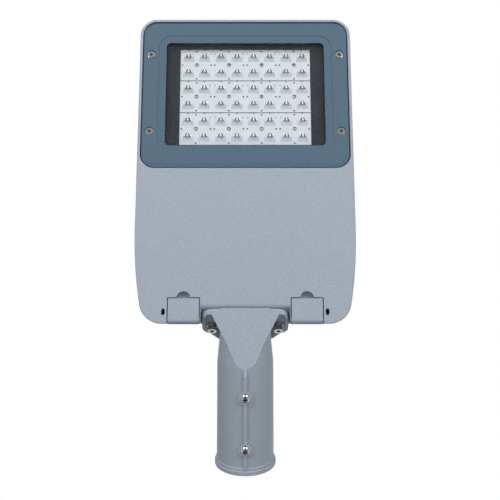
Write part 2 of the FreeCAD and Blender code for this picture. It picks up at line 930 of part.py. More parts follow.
def heat_sink():
    """The finned block over the light modules, screwed to the floor of its seat."""
    body = piece("heat_sink")
    height = s.parting_height - fin_base_height
    pad(body, sink_outline(flat_sketch(body, fin_base_height), 0), height)
    cut_sloping_top(body)
    left = s.fin_thickness - sink_half_width
    gap = fin_pitch - s.fin_thickness
    outline = box(
        flat_sketch(body, s.parting_height), left, left + gap, sink_rear_y - 1, sink_front_y + 1)
    first = pocket(body, outline, height - s.sink_base_thickness, along=False)
    repeated(body, [first], s.fin_count, fin_pitch)
    sink_screw_holes(
        body, fin_base_height, s.small_screw_radius + s.pin_clearance, s.sink_base_thickness, True)
    return body


# Window frame, glass and what lies under it

def window_frame():
    body = piece("window_frame")
    base = pad(body, frame_outline(flat_sketch(body, s.frame_face_depth), 0), s.frame_thickness)
    chamfer(
        body, base, s.frame_bevel_depth, s.frame_bevel_width, level(s.frame_face_depth))
    step = window_outline(
        flat_sketch(body, s.frame_face_depth), s.step_margin, s.step_corner_radius)
    pocket(body, step, s.step_depth)
    opening = window_outline(flat_sketch(body), 0, s.opening_corner_radius)
    pocket(body, opening, frame_back_depth + 1)
    rebate = window_outline(
        flat_sketch(body, glass_face_depth), s.glass_lap + s.glass_clearance,
        s.opening_corner_radius + s.glass_lap + s.glass_clearance)
    pocket(body, rebate, s.glass_thickness + 1)
    bore = ring(
        flat_sketch(body), -s.frame_screw_x, s.frame_screw_rear_y, s.counterbore_radius)
    hole = ring(
        flat_sketch(body), -s.frame_screw_x, s.frame_screw_rear_y,
        s.frame_bolt_radius + s.bolt_hole_clearance)
    cuts = [pocket(body, bore, s.frame_face_depth + s.counterbore_depth)]
    cuts.append(pocket(body, hole, frame_back_depth + 1))
    repeated(body, cuts, 2, s.frame_screw_x * 2, 2, s.frame_screw_spacing_y)
    return body


def window_glass():
    body = piece("window_glass")
    outline = window_outline(
        flat_sketch(body, glass_face_depth), s.glass_lap, s.opening_corner_radius + s.glass_lap)
    pad(body, outline, s.glass_thickness)
    return body


def frame_gasket():
    """The flat rubber ring between the frame with its glass and the housing's ledge."""
    body = piece("frame_gasket")
    width = s.glass_lap + s.glass_lap
    outer = window_outline(
        flat_sketch(body, frame_back_depth), width, s.opening_corner_radius + width)
    pad(body, outer, s.gasket_thickness)
    inner = window_outline(
        flat_sketch(body, frame_back_depth), s.cavity_margin, s.opening_corner_radius)
    pocket(body, inner, s.gasket_thickness)
    return body


def mask_plate():
    """The dark tray that hides the boards round the lenses."""
    body = piece("mask_plate")
    margin = s.cavity_margin - s.mask_clearance
    radius = s.opening_corner_radius - s.mask_clearance
    inner_radius = radius - s.mask_thickness
    top = frame_back_depth
    depth = s.mask_floor_depth + s.mask_thickness - top
    pad(body, window_outline(flat_sketch(body, top), margin, radius), depth)
    pocket(
        body, window_outline(flat_sketch(body, top), margin - s.mask_thickness, inner_radius),
        s.mask_floor_depth - top)
    x = module_half_width + s.mask_clearance
    y = module_half_length + s.mask_clearance
    hole = box(
        flat_sketch(body, top), -x, x, module_centre_y - y, module_centre_y + y)
    pocket(body, hole, depth + 1)
    return body


def row_centre_y(row):
    return module_centre_y + s.row_pitch * (row - 1)


def led_board(row):
    """The metal-core board of one row of four lens blocks."""
    body = piece("led_board_" + ROW_NAMES[row])
    half = (s.row_pitch - s.block_gap_y) / 2
    outline = box(
        flat_sketch(body, board_face_depth), -module_half_width, module_half_width,
        row_centre_y(row) - half, row_centre_y(row) + half)
    pad(body, outline, s.board_thickness)
    x = s.column_pitch * (s.column_count - 1) / 2
    hole = ring(
        flat_sketch(body, board_face_depth), -x, row_centre_y(row), s.module_screw_radius)
    first = pocket(body, hole, s.board_thickness)
    repeated(body, [first], s.column_count, s.column_pitch)
    return body


def led_chips(row):
    """The sixteen light-emitting diodes of one row, under the middle of each lens."""
    body = piece("led_chips_" + ROW_NAMES[row])
    x = s.column_pitch * (s.column_count - 1) / 2
    half = s.chip_width / 2
    base = board_face_depth - s.chip_height
    chips = []
    for side_x in (-1, 1):
        for side_y in (-1, 1):
            centre_x = -x + s.lens_pitch_x / 2 * side_x
            centre_y = row_centre_y(row) + s.lens_pitch_y / 2 * side_y + s.chip_offset_y
            outline = box(
                flat_sketch(body, base), centre_x - half, centre_x + half,
                centre_y - half, centre_y + half)
            chips.append(pad(body, outline, s.chip_height))
    repeated(body, chips, s.column_count, s.column_pitch)
    return body


def lens_block(row, column):
    """One moulded block of four lenses, each a half dome with a ribbed strip behind it."""
    body = piece("lens_block_%s_%d" % (ROW_NAMES[row], column + 1))
    x = s.column_pitch * (column - (s.column_count - 1) / 2)
    y = row_centre_y(row)
    half_x = (s.column_pitch - s.block_gap_x) / 2
    half_y = (s.row_pitch - s.block_gap_y) / 2
    outline = box(
        flat_sketch(body, block_face_depth), x - half_x, x + half_x, y - half_y, y + half_y)
    pad(body, outline, s.block_base_thickness)
    parts = add_half_dome(body, x - s.lens_pitch_x / 2, y - s.lens_pitch_y / 2)
    parts += add_lens_strip(body, x - s.lens_pitch_x / 2, y - s.lens_pitch_y / 2)
    repeated(body, parts, 2, s.lens_pitch_x, 2, s.lens_pitch_y)
    bore = ring(flat_sketch(body, block_face_depth), x, y, s.module_bore_radius)
    pocket(body, bore, s.module_bore_depth)
    hole = ring(flat_sketch(body, block_face_depth), x, y, s.module_screw_radius)
    pocket(body, hole, s.block_base_thickness)
    return body


def add_half_dome(body, x, y):
    """A dome on the block's face, cut flat on its rear side, and the hollow over the diode."""
    r = s.lens_radius
    dome_radius = (r * r + s.lens_height * s.lens_height) / (2 * s.lens_height)
    top = block_face_depth - s.lens_height
    middle_y = y + s.lens_flat_y
    section = sketch_on(body, "XZ_Plane", (x, 0, -middle_y))
    path(section, [
        ((Size(0), top), (Size(0), top + dome_radius)),
        ((r, block_face_depth),),
        ((r, block_face_depth + 1),),
        ((Size(0), block_face_depth + 1),),
    ])
    dome = turned(body, section, "V_Axis")
    rear_half = box(flat_sketch(body, top - 1), x - r - 1, x + r + 1, middle_y - r - 1, middle_y)
    flat = pocket(body, rear_half, s.lens_height + 1)
    hollow = ring(
        flat_sketch(body, board_face_depth), x, y + s.chip_offset_y, s.lens_hollow_radius)
    return [dome, flat, pocket(body, hollow, s.lens_hollow_depth, along=False)]


def add_lens_strip(body, x, y):
    """The low ribs behind one lens."""
    ribs = []
    for number in range(SIZES["strip_rib_count"]):
        middle = y + s.strip_first_rib_y - s.strip_rib_pitch * number
        rib = box(
            flat_sketch(body, block_face_depth), x - s.strip_half_width, x + s.strip_half_width,
            middle - s.strip_rib_width / 2, middle + s.strip_rib_width / 2)
        ribs.append(pad(body, rib, s.strip_rib_height, back=True))
    return ribs


def module_screws():
    """The twelve small screws that hold the lens blocks and boards to the housing."""
    body = piece("module_screws")
    x = -s.column_pitch * (s.column_count - 1) / 2
    y = row_centre_y(0)
    seat = block_face_depth + s.module_bore_depth
    head = ring(flat_sketch(body, seat - s.module_head_height), x, y, s.module_head_radius)
    shank = ring(flat_sketch(body, seat), x, y, s.module_screw_radius)
    parts = [pad(body, head, s.module_head_height)]
    parts.append(pad(body, shank, s.mount_face_depth - seat))
    repeated(body, parts, s.column_count, s.column_pitch, ROW_COUNT, s.row_pitch)
    return body


def frame_screws():
    """The four screws of the window frame, with flanged heads and hexagon sockets."""
    body = piece("frame_screws")
    x = -s.frame_screw_x
    y = s.frame_screw_rear_y
    seat = s.frame_face_depth + s.counterbore_depth
    flange = ring(
        flat_sketch(body, seat - s.frame_flange_thickness), x, y, s.frame_flange_radius)
    head = ring(flat_sketch(body, seat - s.frame_head_height), x, y, s.frame_head_radius)
    shank = ring(flat_sketch(body, seat - 1), x, y, s.frame_bolt_radius)
    socket = hexagon(
        flat_sketch(body, seat - s.frame_head_height), x, y, s.frame_socket_width)
    parts = [pad(body, flange, s.frame_flange_thickness)]
    parts.append(pad(body, head, s.frame_head_height))
    parts.append(pad(body, shank, s.frame_bolt_length + 1))
    parts.append(pocket(body, socket, s.frame_socket_depth))
    repeated(body, parts, 2, s.frame_screw_x * 2, 2, s.frame_screw_spacing_y)
    return body


# Lid over the driver bay

def top_lid():
    body = piece("top_lid")
    floor = s.parting_height + s.lid_gap
    top = floor + s.lid_height
    outline = head_outline(flat_sketch(body, floor), top_inset, s.lid_front_y)
    base = pad(body, outline, s.lid_height, taper=-s.draft_angle)
    fillet(body, base, s.lid_edge_radius, level(top))
    wall = s.lid_wall + s.lid_height * tangent(s.draft_angle)
    inside = head_outline(flat_sketch(body, floor), top_inset + wall, s.lid_front_y - wall)
    pocket(body, inside, s.lid_height - s.lid_wall)
    seal_rib = flat_sketch(body, floor)
    bay_outline(seal_rib, s.shell_wall + s.gasket_groove_width + s.seal_rib_margin)
    bay_outline(seal_rib, s.shell_wall - s.seal_rib_margin)
    pad(body, seal_rib, s.lid_height - s.lid_wall)
    add_lid_tongues(body)
    add_lid_knuckles(body)
    return body


def add_lid_tongues(body):
    """The plates that reach down into the latch channels, each with a ledge at its tip."""
    low = s.tongue_tip_height
    rear = s.tongue_y
    front = s.tongue_y + s.tongue_thickness
    top = s.parting_height + s.lid_gap + s.lid_height - s.lid_wall + 1
    outline = polygon(side_sketch(body, s.latch_centre_x - s.arm_half_width + 1), [
        (rear, low), (front + s.ledge_reach, low),
        (front + s.ledge_reach, low + s.ledge_thickness), (front, low + s.ledge_thickness),
        (front, top), (rear, top),
    ])
    tongue = pad(body, outline, s.arm_half_width * 2 - 2)
    mirrored(body, [tongue])


def add_lid_knuckles(body):
    start = s.hinge_x - s.hinge_knuckle_width / 2
    r = s.hinge_knuckle_radius
    root_y = s.lid_front_y - s.lid_wall
    outline = path(side_sketch(body, start), [
        ((root_y, s.hinge_height - r),),
        ((s.hinge_y, s.hinge_height - r), (s.hinge_y, s.hinge_height)),
        ((s.hinge_y, s.hinge_height + r),),
        ((root_y, s.hinge_height + r),),
    ])
    knuckle = pad(body, outline, s.hinge_knuckle_width)
    mirrored(body, [knuckle])
    hole = ring(
        side_sketch(body, start), s.hinge_y, s.hinge_height,
        s.hinge_pin_radius + s.pin_clearance)
    first = pocket(body, hole, s.hinge_knuckle_width)
    mirrored(body, [first])


def lid_gasket():
    """The rubber cord that lies in the groove round the driver bay."""
    body = piece("lid_gasket")
    height = s.parting_height - s.gasket_groove_depth
    outer = bay_outline(flat_sketch(body, height), s.shell_wall + s.gasket_groove_width)
    pad(body, outer, s.gasket_groove_depth + s.lid_gap - s.seal_clearance)
    inner = bay_outline(flat_sketch(body, height), s.shell_wall)
    pocket(body, inner, s.gasket_groove_depth + s.lid_gap)
    return body


def hinge_pin(side, label):
    body = piece(label)
    length = s.hinge_knuckle_width + (s.hinge_ear_width + s.hinge_side_gap) * 2
    start = s.hinge_x * side - length / 2
    outline = ring(
        side_sketch(body, start), s.hinge_y, s.hinge_height, s.hinge_pin_radius)
    pad(body, outline, length)
    return body


# Latches

def latch(side, label):
    """A flap flush with the light face, its barrel round the pin, and the arm behind it."""
    body = piece(label)
    centre = s.latch_centre_x * side
    r = s.latch_barrel_radius
    outline = box(
        flat_sketch(body), centre - s.latch_width / 2, centre + s.latch_width / 2,
        latch_pivot_y, s.latch_length)
    plate = pad(body, outline, s.latch_thickness)
    rear = latch_pivot_y.value
    fillet(
        body, plate, s.latch_edge_round,
        lambda bounds: level(0)(bounds) and bounds.YMax > rear + 1)
    barrel = ring(side_sketch(body, centre), latch_pivot_y, latch_pivot_z, r)
    pad(body, barrel, s.latch_width, both_ways=True)
    pad(body, latch_arm_outline(side_sketch(body, centre)), s.arm_half_width * 2, both_ways=True)
    hole = ring(
        side_sketch(body, centre), latch_pivot_y, latch_pivot_z,
        s.latch_pin_radius + s.pin_clearance)
    pocket(body, hole, s.latch_width + 2, both_ways=True)
    return body


def latch_arm_outline(sketch):
    """The arm leans forward from the barrel, and its nose points back over the lid's ledge."""
    nose = s.tongue_y + s.tongue_thickness + s.ledge_reach + s.nose_clearance
    stem = nose + s.nose_length
    back = stem + s.arm_thickness
    elbow = s.arm_elbow_height
    return polygon(sketch, [
        (latch_pivot_y - s.arm_foot_shift, latch_pivot_z + s.arm_foot_shift),
        (latch_pivot_y + s.arm_foot_reach, latch_pivot_z - s.arm_foot_shift),
        (back - s.arm_lean, elbow), (back, s.arm_height), (nose, s.arm_height),
        (nose, s.arm_height - s.nose_length), (stem, s.arm_height - s.nose_length * 2),
        (stem - s.arm_lean, elbow + s.arm_thickness / 2),
    ])


def latch_pin(side, label):
    body = piece(label)
    half = s.latch_width / 2 + s.latch_gap
    inner = s.latch_centre_x - half - s.latch_web_seat
    outer = s.latch_centre_x + half + s.latch_pin_seat
    start = inner if side > 0 else -outer
    outline = ring(
        side_sketch(body, start), latch_pivot_y, latch_pivot_z, s.latch_pin_radius)
    pad(body, outline, outer - inner)
    return body


# Spigot arm

def spigot_arm():
    """The cast arm: flange, shoulders, bolt pockets, tube with its flare, and the flat throat."""
    body = piece("spigot_arm")
    pad(body, flange_outline(flange_sketch(body)), s.flange_thickness)
    add_gusset(body)
    cut_bolt_pockets(body)
    turned(body, tube_outline(tube_section_sketch(body)))
    add_wedge(body)
    add_rib_and_bosses(body)
    trim_arm(body)
    cut_bore(body)
    cut_arm_holes(body)
    return body


def add_gusset(body):
    """The web over the bolts, which narrows from the flange to the neck."""
    front = s.gusset_front_half_width
    rear = s.gusset_rear_half_width
    outline = polygon(flat_sketch(body, s.gusset_low), [
        (-rear, s.gusset_rear_y), (rear, s.gusset_rear_y), (front, s.gusset_front_y),
        (front, s.flange_y), (-front, s.flange_y), (-front, s.gusset_front_y),
    ])
    pad(body, outline, s.gusset_high - s.gusset_low)


def cut_bolt_pockets(body):
    """The pockets beside the throat, open to below and behind, where the flange bolts go in."""
    r = s.bolt_pocket_radius
    low = -s.bolt_pocket_reach
    cuts = []
    outline = path(flange_sketch(body, bolt_seat), [
        ((-s.bolt_x - r, low),),
        ((-s.wedge_rear_half_width, low),),
        ((-s.wedge_rear_half_width, s.bolt_height + r),),
        ((-s.bolt_x, s.bolt_height + r), (-s.bolt_x, s.bolt_height)),
        ((-s.bolt_x - r, s.bolt_height),),
    ])
    cuts.append(pocket(body, outline, s.tube_length))
    mirrored(body, cuts)


def tube_outline(sketch):
    """Half the tube's section: the stepped flare at the mouth, the tube, and the neck."""
    step = s.flare_step_length
    r = s.mouth_round
    return path(sketch, [
        ((Size(0), Size(0)),),
        ((s.neck_end, Size(0)),),
        ((s.neck_end, s.neck_radius),),
        ((s.neck_distance, s.neck_radius),),
        ((s.tube_length, s.tube_tip_radius),),
        ((s.flare_length, s.tube_mouth_radius),),
        ((s.flare_length - 1, s.flare_step_radius),),
        ((step, s.flare_step_radius),),
        ((step - 1, s.flare_radius),),
        ((r, s.flare_radius), (r, s.flare_radius - r)),
        ((Size(0), s.flare_radius - r),),
    ])


def add_wedge(body):
    """The flat-faced throat between the flange and the tube: from below a V with a round tip."""
    slope = (s.wedge_front_half_width - s.wedge_rear_half_width) / (s.wedge_front_y - s.wedge_rear_y)
    front_y = s.wedge_front_y + s.recess_round_height
    front = s.wedge_front_half_width + slope * s.recess_round_height
    tip = s.wedge_tip_half_width
    centre_y = s.tip_y + s.wedge_tip_radius
    tip_start_y = centre_y - root(s.wedge_tip_radius * s.wedge_tip_radius - tip * tip)
    outline = path(flat_sketch(body), [
        ((-tip, tip_start_y), (Size(0), centre_y)),
        ((tip, tip_start_y),),
        ((s.wedge_rear_half_width, s.wedge_rear_y),),
        ((front, front_y),),
        ((-front, front_y),),
        ((-s.wedge_rear_half_width, s.wedge_rear_y),),
    ])
    pad(body, outline, s.wedge_height)


def add_rib_and_bosses(body):
    """The rib along the underside of the tube and the two ring bosses of the clamp screws."""
    rib = box(
        tube_side_sketch(body), -s.rib_width / 2, s.rib_width / 2, s.mouth_round,
        s.tube_length + s.rib_width)
    pad(body, rib, s.tube_mouth_radius + s.rib_height, back=True)
    for distance in (s.clamp_rear_distance, s.clamp_front_distance):
        boss = ring(tube_side_sketch(body), Size(0), distance, s.clamp_boss_radius)
        pad(body, boss, s.tube_mouth_radius + s.clamp_boss_height, back=True)


def trim_arm(body):
    """Cuts off what lies below the light face's level and what lies in front of the seat."""
    big = s.head_width
    below = box(flat_sketch(body), -big, big, -big, big)
    pocket(body, below, big, along=False)
    ahead = box(flange_sketch(body), -big, big, -big, big)
    pocket(body, ahead, big, along=False)


def cut_bore(body):
    """The bore for the pole, its cone, and the cable's way through the flange."""
    section = polygon(tube_section_sketch(body), [
        (Size(-1), Size(0)), (s.inner_depth, Size(0)), (s.inner_depth, s.inner_radius),
        (s.bore_depth + s.bore_cone_length, s.inner_radius), (s.bore_depth, s.bore_radius),
        (Size(-1), s.bore_radius),
    ])
    turned(body, section, cut=True)
    entry = ring(flange_sketch(body), Size(0), s.bolt_height, s.passage_radius)
    pocket(body, entry, s.passage_length)
    level_way = ring(
        sketch_on(body, "XZ_Plane"), Size(0), s.passage_height, s.passage_radius)
    pocket(body, level_way, -s.tip_y)


def cut_arm_holes(body):
    hole = ring(
        flange_sketch(body), -s.bolt_x, s.bolt_height, s.bolt_radius + s.bolt_hole_clearance)
    relief = ring(
        flange_sketch(body, bolt_seat), -s.bolt_x, s.bolt_height,
        s.flat_washer_radius + s.bolt_hole_clearance)
    cuts = [pocket(body, hole, s.flange_thickness)]
    cuts.append(pocket(body, relief, s.flange_height))
    mirrored(body, cuts)
    for distance in (s.clamp_rear_distance, s.clamp_front_distance):
        thread = ring(tube_side_sketch(body), Size(0), distance, s.clamp_screw_radius)
        pocket(body, thread, s.flare_radius + s.clamp_boss_height, along=False)


def spigot_gasket():
    body = piece("spigot_gasket")
    pad(body, flange_outline(flange_sketch(body, -s.seat_gasket), s.seat_gasket_inset), s.seat_gasket)
    opening = ring(
        flange_sketch(body, -s.seat_gasket), Size(0), s.bolt_height, s.passage_radius)
    pocket(body, opening, s.seat_gasket)
    hole = ring(
        flange_sketch(body, -s.seat_gasket), -s.bolt_x, s.bolt_height,
        s.bolt_radius + s.bolt_hole_clearance)
    first = pocket(body, hole, s.seat_gasket)
    mirrored(body, [first])
    return body


def washers(label, distance, radius, thickness):
    """A pair of washers on the flange bolts."""
    body = piece(label)
    outer = ring(flange_sketch(body, distance), -s.bolt_x, s.bolt_height, radius)
    parts = [pad(body, outer, thickness)]
    hole = ring(
        flange_sketch(body, distance), -s.bolt_x, s.bolt_height,
        s.bolt_radius + s.bolt_hole_clearance / 2)
    parts.append(pocket(body, hole, thickness))
    mirrored(body, parts)
    return body


def flange_bolts():
    body = piece("flange_bolts")
    seat = bolt_seat + s.flat_washer_thickness + s.spring_washer_thickness
    shank = ring(
        flange_sketch(body, -s.seat_gasket - s.bolt_grip), -s.bolt_x, s.bolt_height, s.bolt_radius)
    parts = [pad(body, shank, seat + s.seat_gasket + s.bolt_grip + 1)]
    head = ring(flange_sketch(body, seat), -s.bolt_x, s.bolt_height, s.bolt_head_radius)
    parts.append(pad(body, head, s.bolt_head_height))
    socket = hexagon(
        flange_sketch(body, seat + s.bolt_head_height), -s.bolt_x, s.bolt_height,
        s.bolt_socket_width)
    parts.append(pocket(body, socket, s.bolt_socket_depth, along=False))
    mirrored(body, parts)
    return body


def clamp_screw(label, distance):
    """A domed screw that presses on the pole's arm, turned about a construction line."""
    body = piece(label)
    boss_top = s.tube_mouth_radius + s.clamp_boss_height
    sketch = sketch_on(
        body, "YZ_Plane", (mouth_y, mouth_z, 0), Vector(0, 0, 1), -s.tube_tilt)
    r = s.clamp_head_radius
    h = s.clamp_head_height
    dome_radius = (r * r + h * h) / (2 * h)
    tip = s.bore_radius + 1
    outline = path(sketch, [
        ((distance, -tip),),
        ((distance, -boss_top - h), (distance, -boss_top - h + dome_radius)),
        ((distance + r, -boss_top),),
        ((distance + s.clamp_screw_radius, -boss_top),),
        ((distance + s.clamp_screw_radius, -tip),),
    ])
    line = sketch.addGeometry(
        Part.LineSegment(point((distance, Size(0))), point((distance, Size(10)))), True)
    hold_point(sketch, line, 1, (distance, Size(0)))
    hold_point(sketch, line, 2, (distance, Size(10)))
    turned(body, outline, "Axis0")
    socket = hexagon(tube_side_sketch(body), Size(0), distance, s.clamp_socket_width)
    bind(socket, "AttachmentOffset.Base.y", mouth_y - sine(s.tube_tilt) * (boss_top + h))
    bind(socket, "AttachmentOffset.Base.z", mouth_z - cosine(s.tube_tilt) * (boss_top + h))
    pocket(body, socket, s.clamp_socket_depth)
    return body


# Pieces inside the driver bay

def gear_tray():
    """The folded sheet that carries the driver, the terminal block and the surge protector."""
    body = piece("gear_tray")
    high = s.tray_rear_y + s.tray_length
    plate = rounded_box(
        flat_sketch(body, tray_height), -s.tray_half_width, s.tray_half_width,
        s.tray_rear_y, high, s.tray_post_radius)
    pad(body, plate, s.tray_thickness)
    x = s.tray_half_width - s.tray_screw_inset
    hole = ring(
        flat_sketch(body, tray_height), -x, s.tray_rear_y + s.tray_screw_inset,
        s.small_screw_radius + s.pin_clearance)
    first = pocket(body, hole, s.tray_thickness)
    repeated(body, [first], 2, x * 2, 2, s.tray_length - s.tray_screw_inset * 2)
    reach = s.driver_length + s.driver_foot_length
    driver_hole = ring(
        flat_sketch(body, tray_height), s.driver_x - reach / 2,
        s.driver_y + s.driver_width / 2, s.small_screw_radius)
    second = pocket(body, driver_hole, s.tray_thickness)
    repeated(body, [second], 2, reach)
    return body


def screw_set(label, x, y, height, depth, count_x, pitch_x, count_y, pitch_y):
    """Small pan-head screws in columns and rows, heads up, each with a crosswise slot."""
    body = piece(label)
    shank = ring(flat_sketch(body, height - depth), x, y, s.small_screw_radius)
    head = ring(flat_sketch(body, height), x, y, s.small_head_radius)
    parts = [pad(body, shank, depth + 1), pad(body, head, s.small_head_height)]
    top = flat_sketch(body, height + s.small_head_height)
    width = s.small_head_radius / 5
    across = box(top, x - s.small_head_radius, x + s.small_head_radius, y - width, y + width)
    parts.append(pocket(body, across, s.small_head_height / 3, along=False))
    repeated(body, parts, count_x, pitch_x, count_y, pitch_y)
    return body


def led_driver():
    """The sealed power supply: a metal box with a foot at each end."""
    body = piece("led_driver")
    floor = tray_height + s.tray_thickness
    half_length = s.driver_length / 2
    high = s.driver_y + s.driver_width
    case = rounded_box(
        flat_sketch(body, floor), s.driver_x - half_length, s.driver_x + half_length,
        s.driver_y, high, s.driver_corner_radius)
    pad(body, case, s.driver_height)
    foot_half = half_length + s.driver_foot_length
    foot = box(
        flat_sketch(body, floor), s.driver_x - foot_half, s.driver_x + foot_half,
        s.driver_y + s.driver_width / 4, high - s.driver_width / 4)
    pad(body, foot, s.driver_foot_thickness)
    hole = ring(
        flat_sketch(body, floor), s.driver_x - foot_half + s.driver_foot_length / 2,
        s.driver_y + s.driver_width / 2, s.small_screw_radius + s.pin_clearance)
    first = pocket(body, hole, s.driver_foot_thickness)
    repeated(body, [first], 2, s.driver_length + s.driver_foot_length)
    return body


def boxed_part(label, x, y, length, width, height, notch_count):
    """A small moulded box on the tray, with notches along its top for the wires."""
    body = piece(label)
    floor = tray_height + s.tray_thickness
    case = rounded_box(
        flat_sketch(body, floor), x, x + length, y, y + width, s.box_corner_radius)
    pad(body, case, height)
    pitch = length / notch_count
    notch = box(
        flat_sketch(body, floor + height), x + pitch / 4, x + pitch * 3 / 4, y + width / 4,
        y + width * 3 / 4)
    first = pocket(body, notch, height / 3, along=False)
    repeated(body, [first], notch_count, pitch)
    return body


def cable_gland():
    """The gland where the supply cable comes out of the spigot into the bay."""
    body = piece("cable_gland")
    wall_face = -s.seat_gasket - s.throat_wall
    nut = hexagon(
        flange_sketch(body, wall_face - s.gland_hex_thickness), Size(0), s.bolt_height,
        s.gland_hex_width)
    pad(body, nut, s.gland_hex_thickness)
    thread = ring(flange_sketch(body, wall_face), Size(0), s.bolt_height, s.gland_thread_radius)
    pad(body, thread, s.throat_wall + s.seat_gasket)
    cap = ring(flange_sketch(body), Size(0), s.bolt_height, s.gland_cap_radius)
    pad(body, cap, s.gland_cap_length)
    way = ring(
        flange_sketch(body, wall_face - s.gland_hex_thickness), Size(0), s.bolt_height,
        s.gland_bore_radius)
    pocket(body, way, s.gland_cap_length * 3)
    return body


def build_all():
    pieces = [
        housing(), heat_sink(), window_frame(), window_glass(), frame_gasket(), mask_plate(),
        module_screws(), frame_screws(), top_lid(), lid_gasket(), hinge_pin(1, "lid_hinge_pin_left"),
        hinge_pin(-1, "lid_hinge_pin_right"), latch(1, "latch_left"), latch(-1, "latch_right"),
        latch_pin(1, "latch_pin_left"), latch_pin(-1, "latch_pin_right"), spigot_arm(),
        spigot_gasket(), flange_bolts(), gear_tray(), led_driver(), cable_gland(),
    ]
    for row in range(ROW_COUNT):
        pieces += [led_board(row), led_chips(row)]
        pieces += [lens_block(row, column) for column in range(SIZES["column_count"])]
    pieces.append(washers(
        "flat_washers", bolt_seat, s.flat_washer_radius, s.flat_washer_thickness))
    pieces.append(washers(
        "spring_washers", bolt_seat + s.flat_washer_thickness, s.spring_washer_radius,
        s.spring_washer_thickness))
    pieces.append(clamp_screw("clamp_screw_rear", s.clamp_rear_distance))
    pieces.append(clamp_screw("clamp_screw_front", s.clamp_front_distance))
    x = s.tray_half_width - s.tray_screw_inset
    pieces.append(screw_set(
        "tray_screws", -x, s.tray_rear_y + s.tray_screw_inset, tray_height + s.tray_thickness,
        s.tray_thickness + s.tray_post_height, 2, x * 2, 2,
        s.tray_length - s.tray_screw_inset * 2))
    foot_x = s.driver_x - s.driver_length / 2 - s.driver_foot_length / 2
    pieces.append(screw_set(
        "driver_screws", foot_x, s.driver_y + s.driver_width / 2,
        tray_height + s.tray_thickness + s.driver_foot_thickness,
        s.tray_thickness + s.driver_foot_thickness, 2, s.driver_length + s.driver_foot_length,
        1, Size(0)))
    pieces.append(screw_set(
        "sink_screws", -sink_screw_x, sink_rear_y + s.sink_screw_inset,
        fin_base_height + s.sink_base_thickness, s.sink_base_thickness + s.sink_screw_seat,
        2, sink_screw_x * 2, 2, sink_front_y - sink_rear_y - s.sink_screw_inset * 2))
    pieces.append(boxed_part(
        "terminal_block", s.terminal_x, s.terminal_y, s.terminal_length, s.terminal_width,
        s.terminal_height, 3))
    pieces.append(boxed_part(
        "surge_protector", s.terminal_x, s.surge_y, s.surge_length, s.surge_width,
        s.surge_height, 1))
    return pieces


def write_all(pieces):
    """Checks every object of the document and every piece, and then writes each piece's file."""
    doc.recompute()
    for thing in doc.Objects:
        if "Invalid" in thing.State or "Error" in thing.State:
            raise RuntimeError("%s is not built: %s" % (thing.Label, thing.State))
    for body in pieces:
        if body.Shape.isNull() or not body.Shape.isValid() or not body.Shape.Solids:
            raise RuntimeError("%s has no sound shape" % body.Label)
    os.makedirs("parts", exist_ok=True)
    for body in pieces:
        body.Shape.exportStep("parts/%s.step" % body.Label)
        bounds = body.Shape.BoundBox
        print("%-24s %2d solid(s) %10.0f mm3  y %7.1f to %7.1f  z %6.1f to %6.1f" % (
            body.Label, len(body.Shape.Solids), body.Shape.Volume, bounds.YMin, bounds.YMax,
            bounds.ZMin, bounds.ZMax))


write_all(build_all())
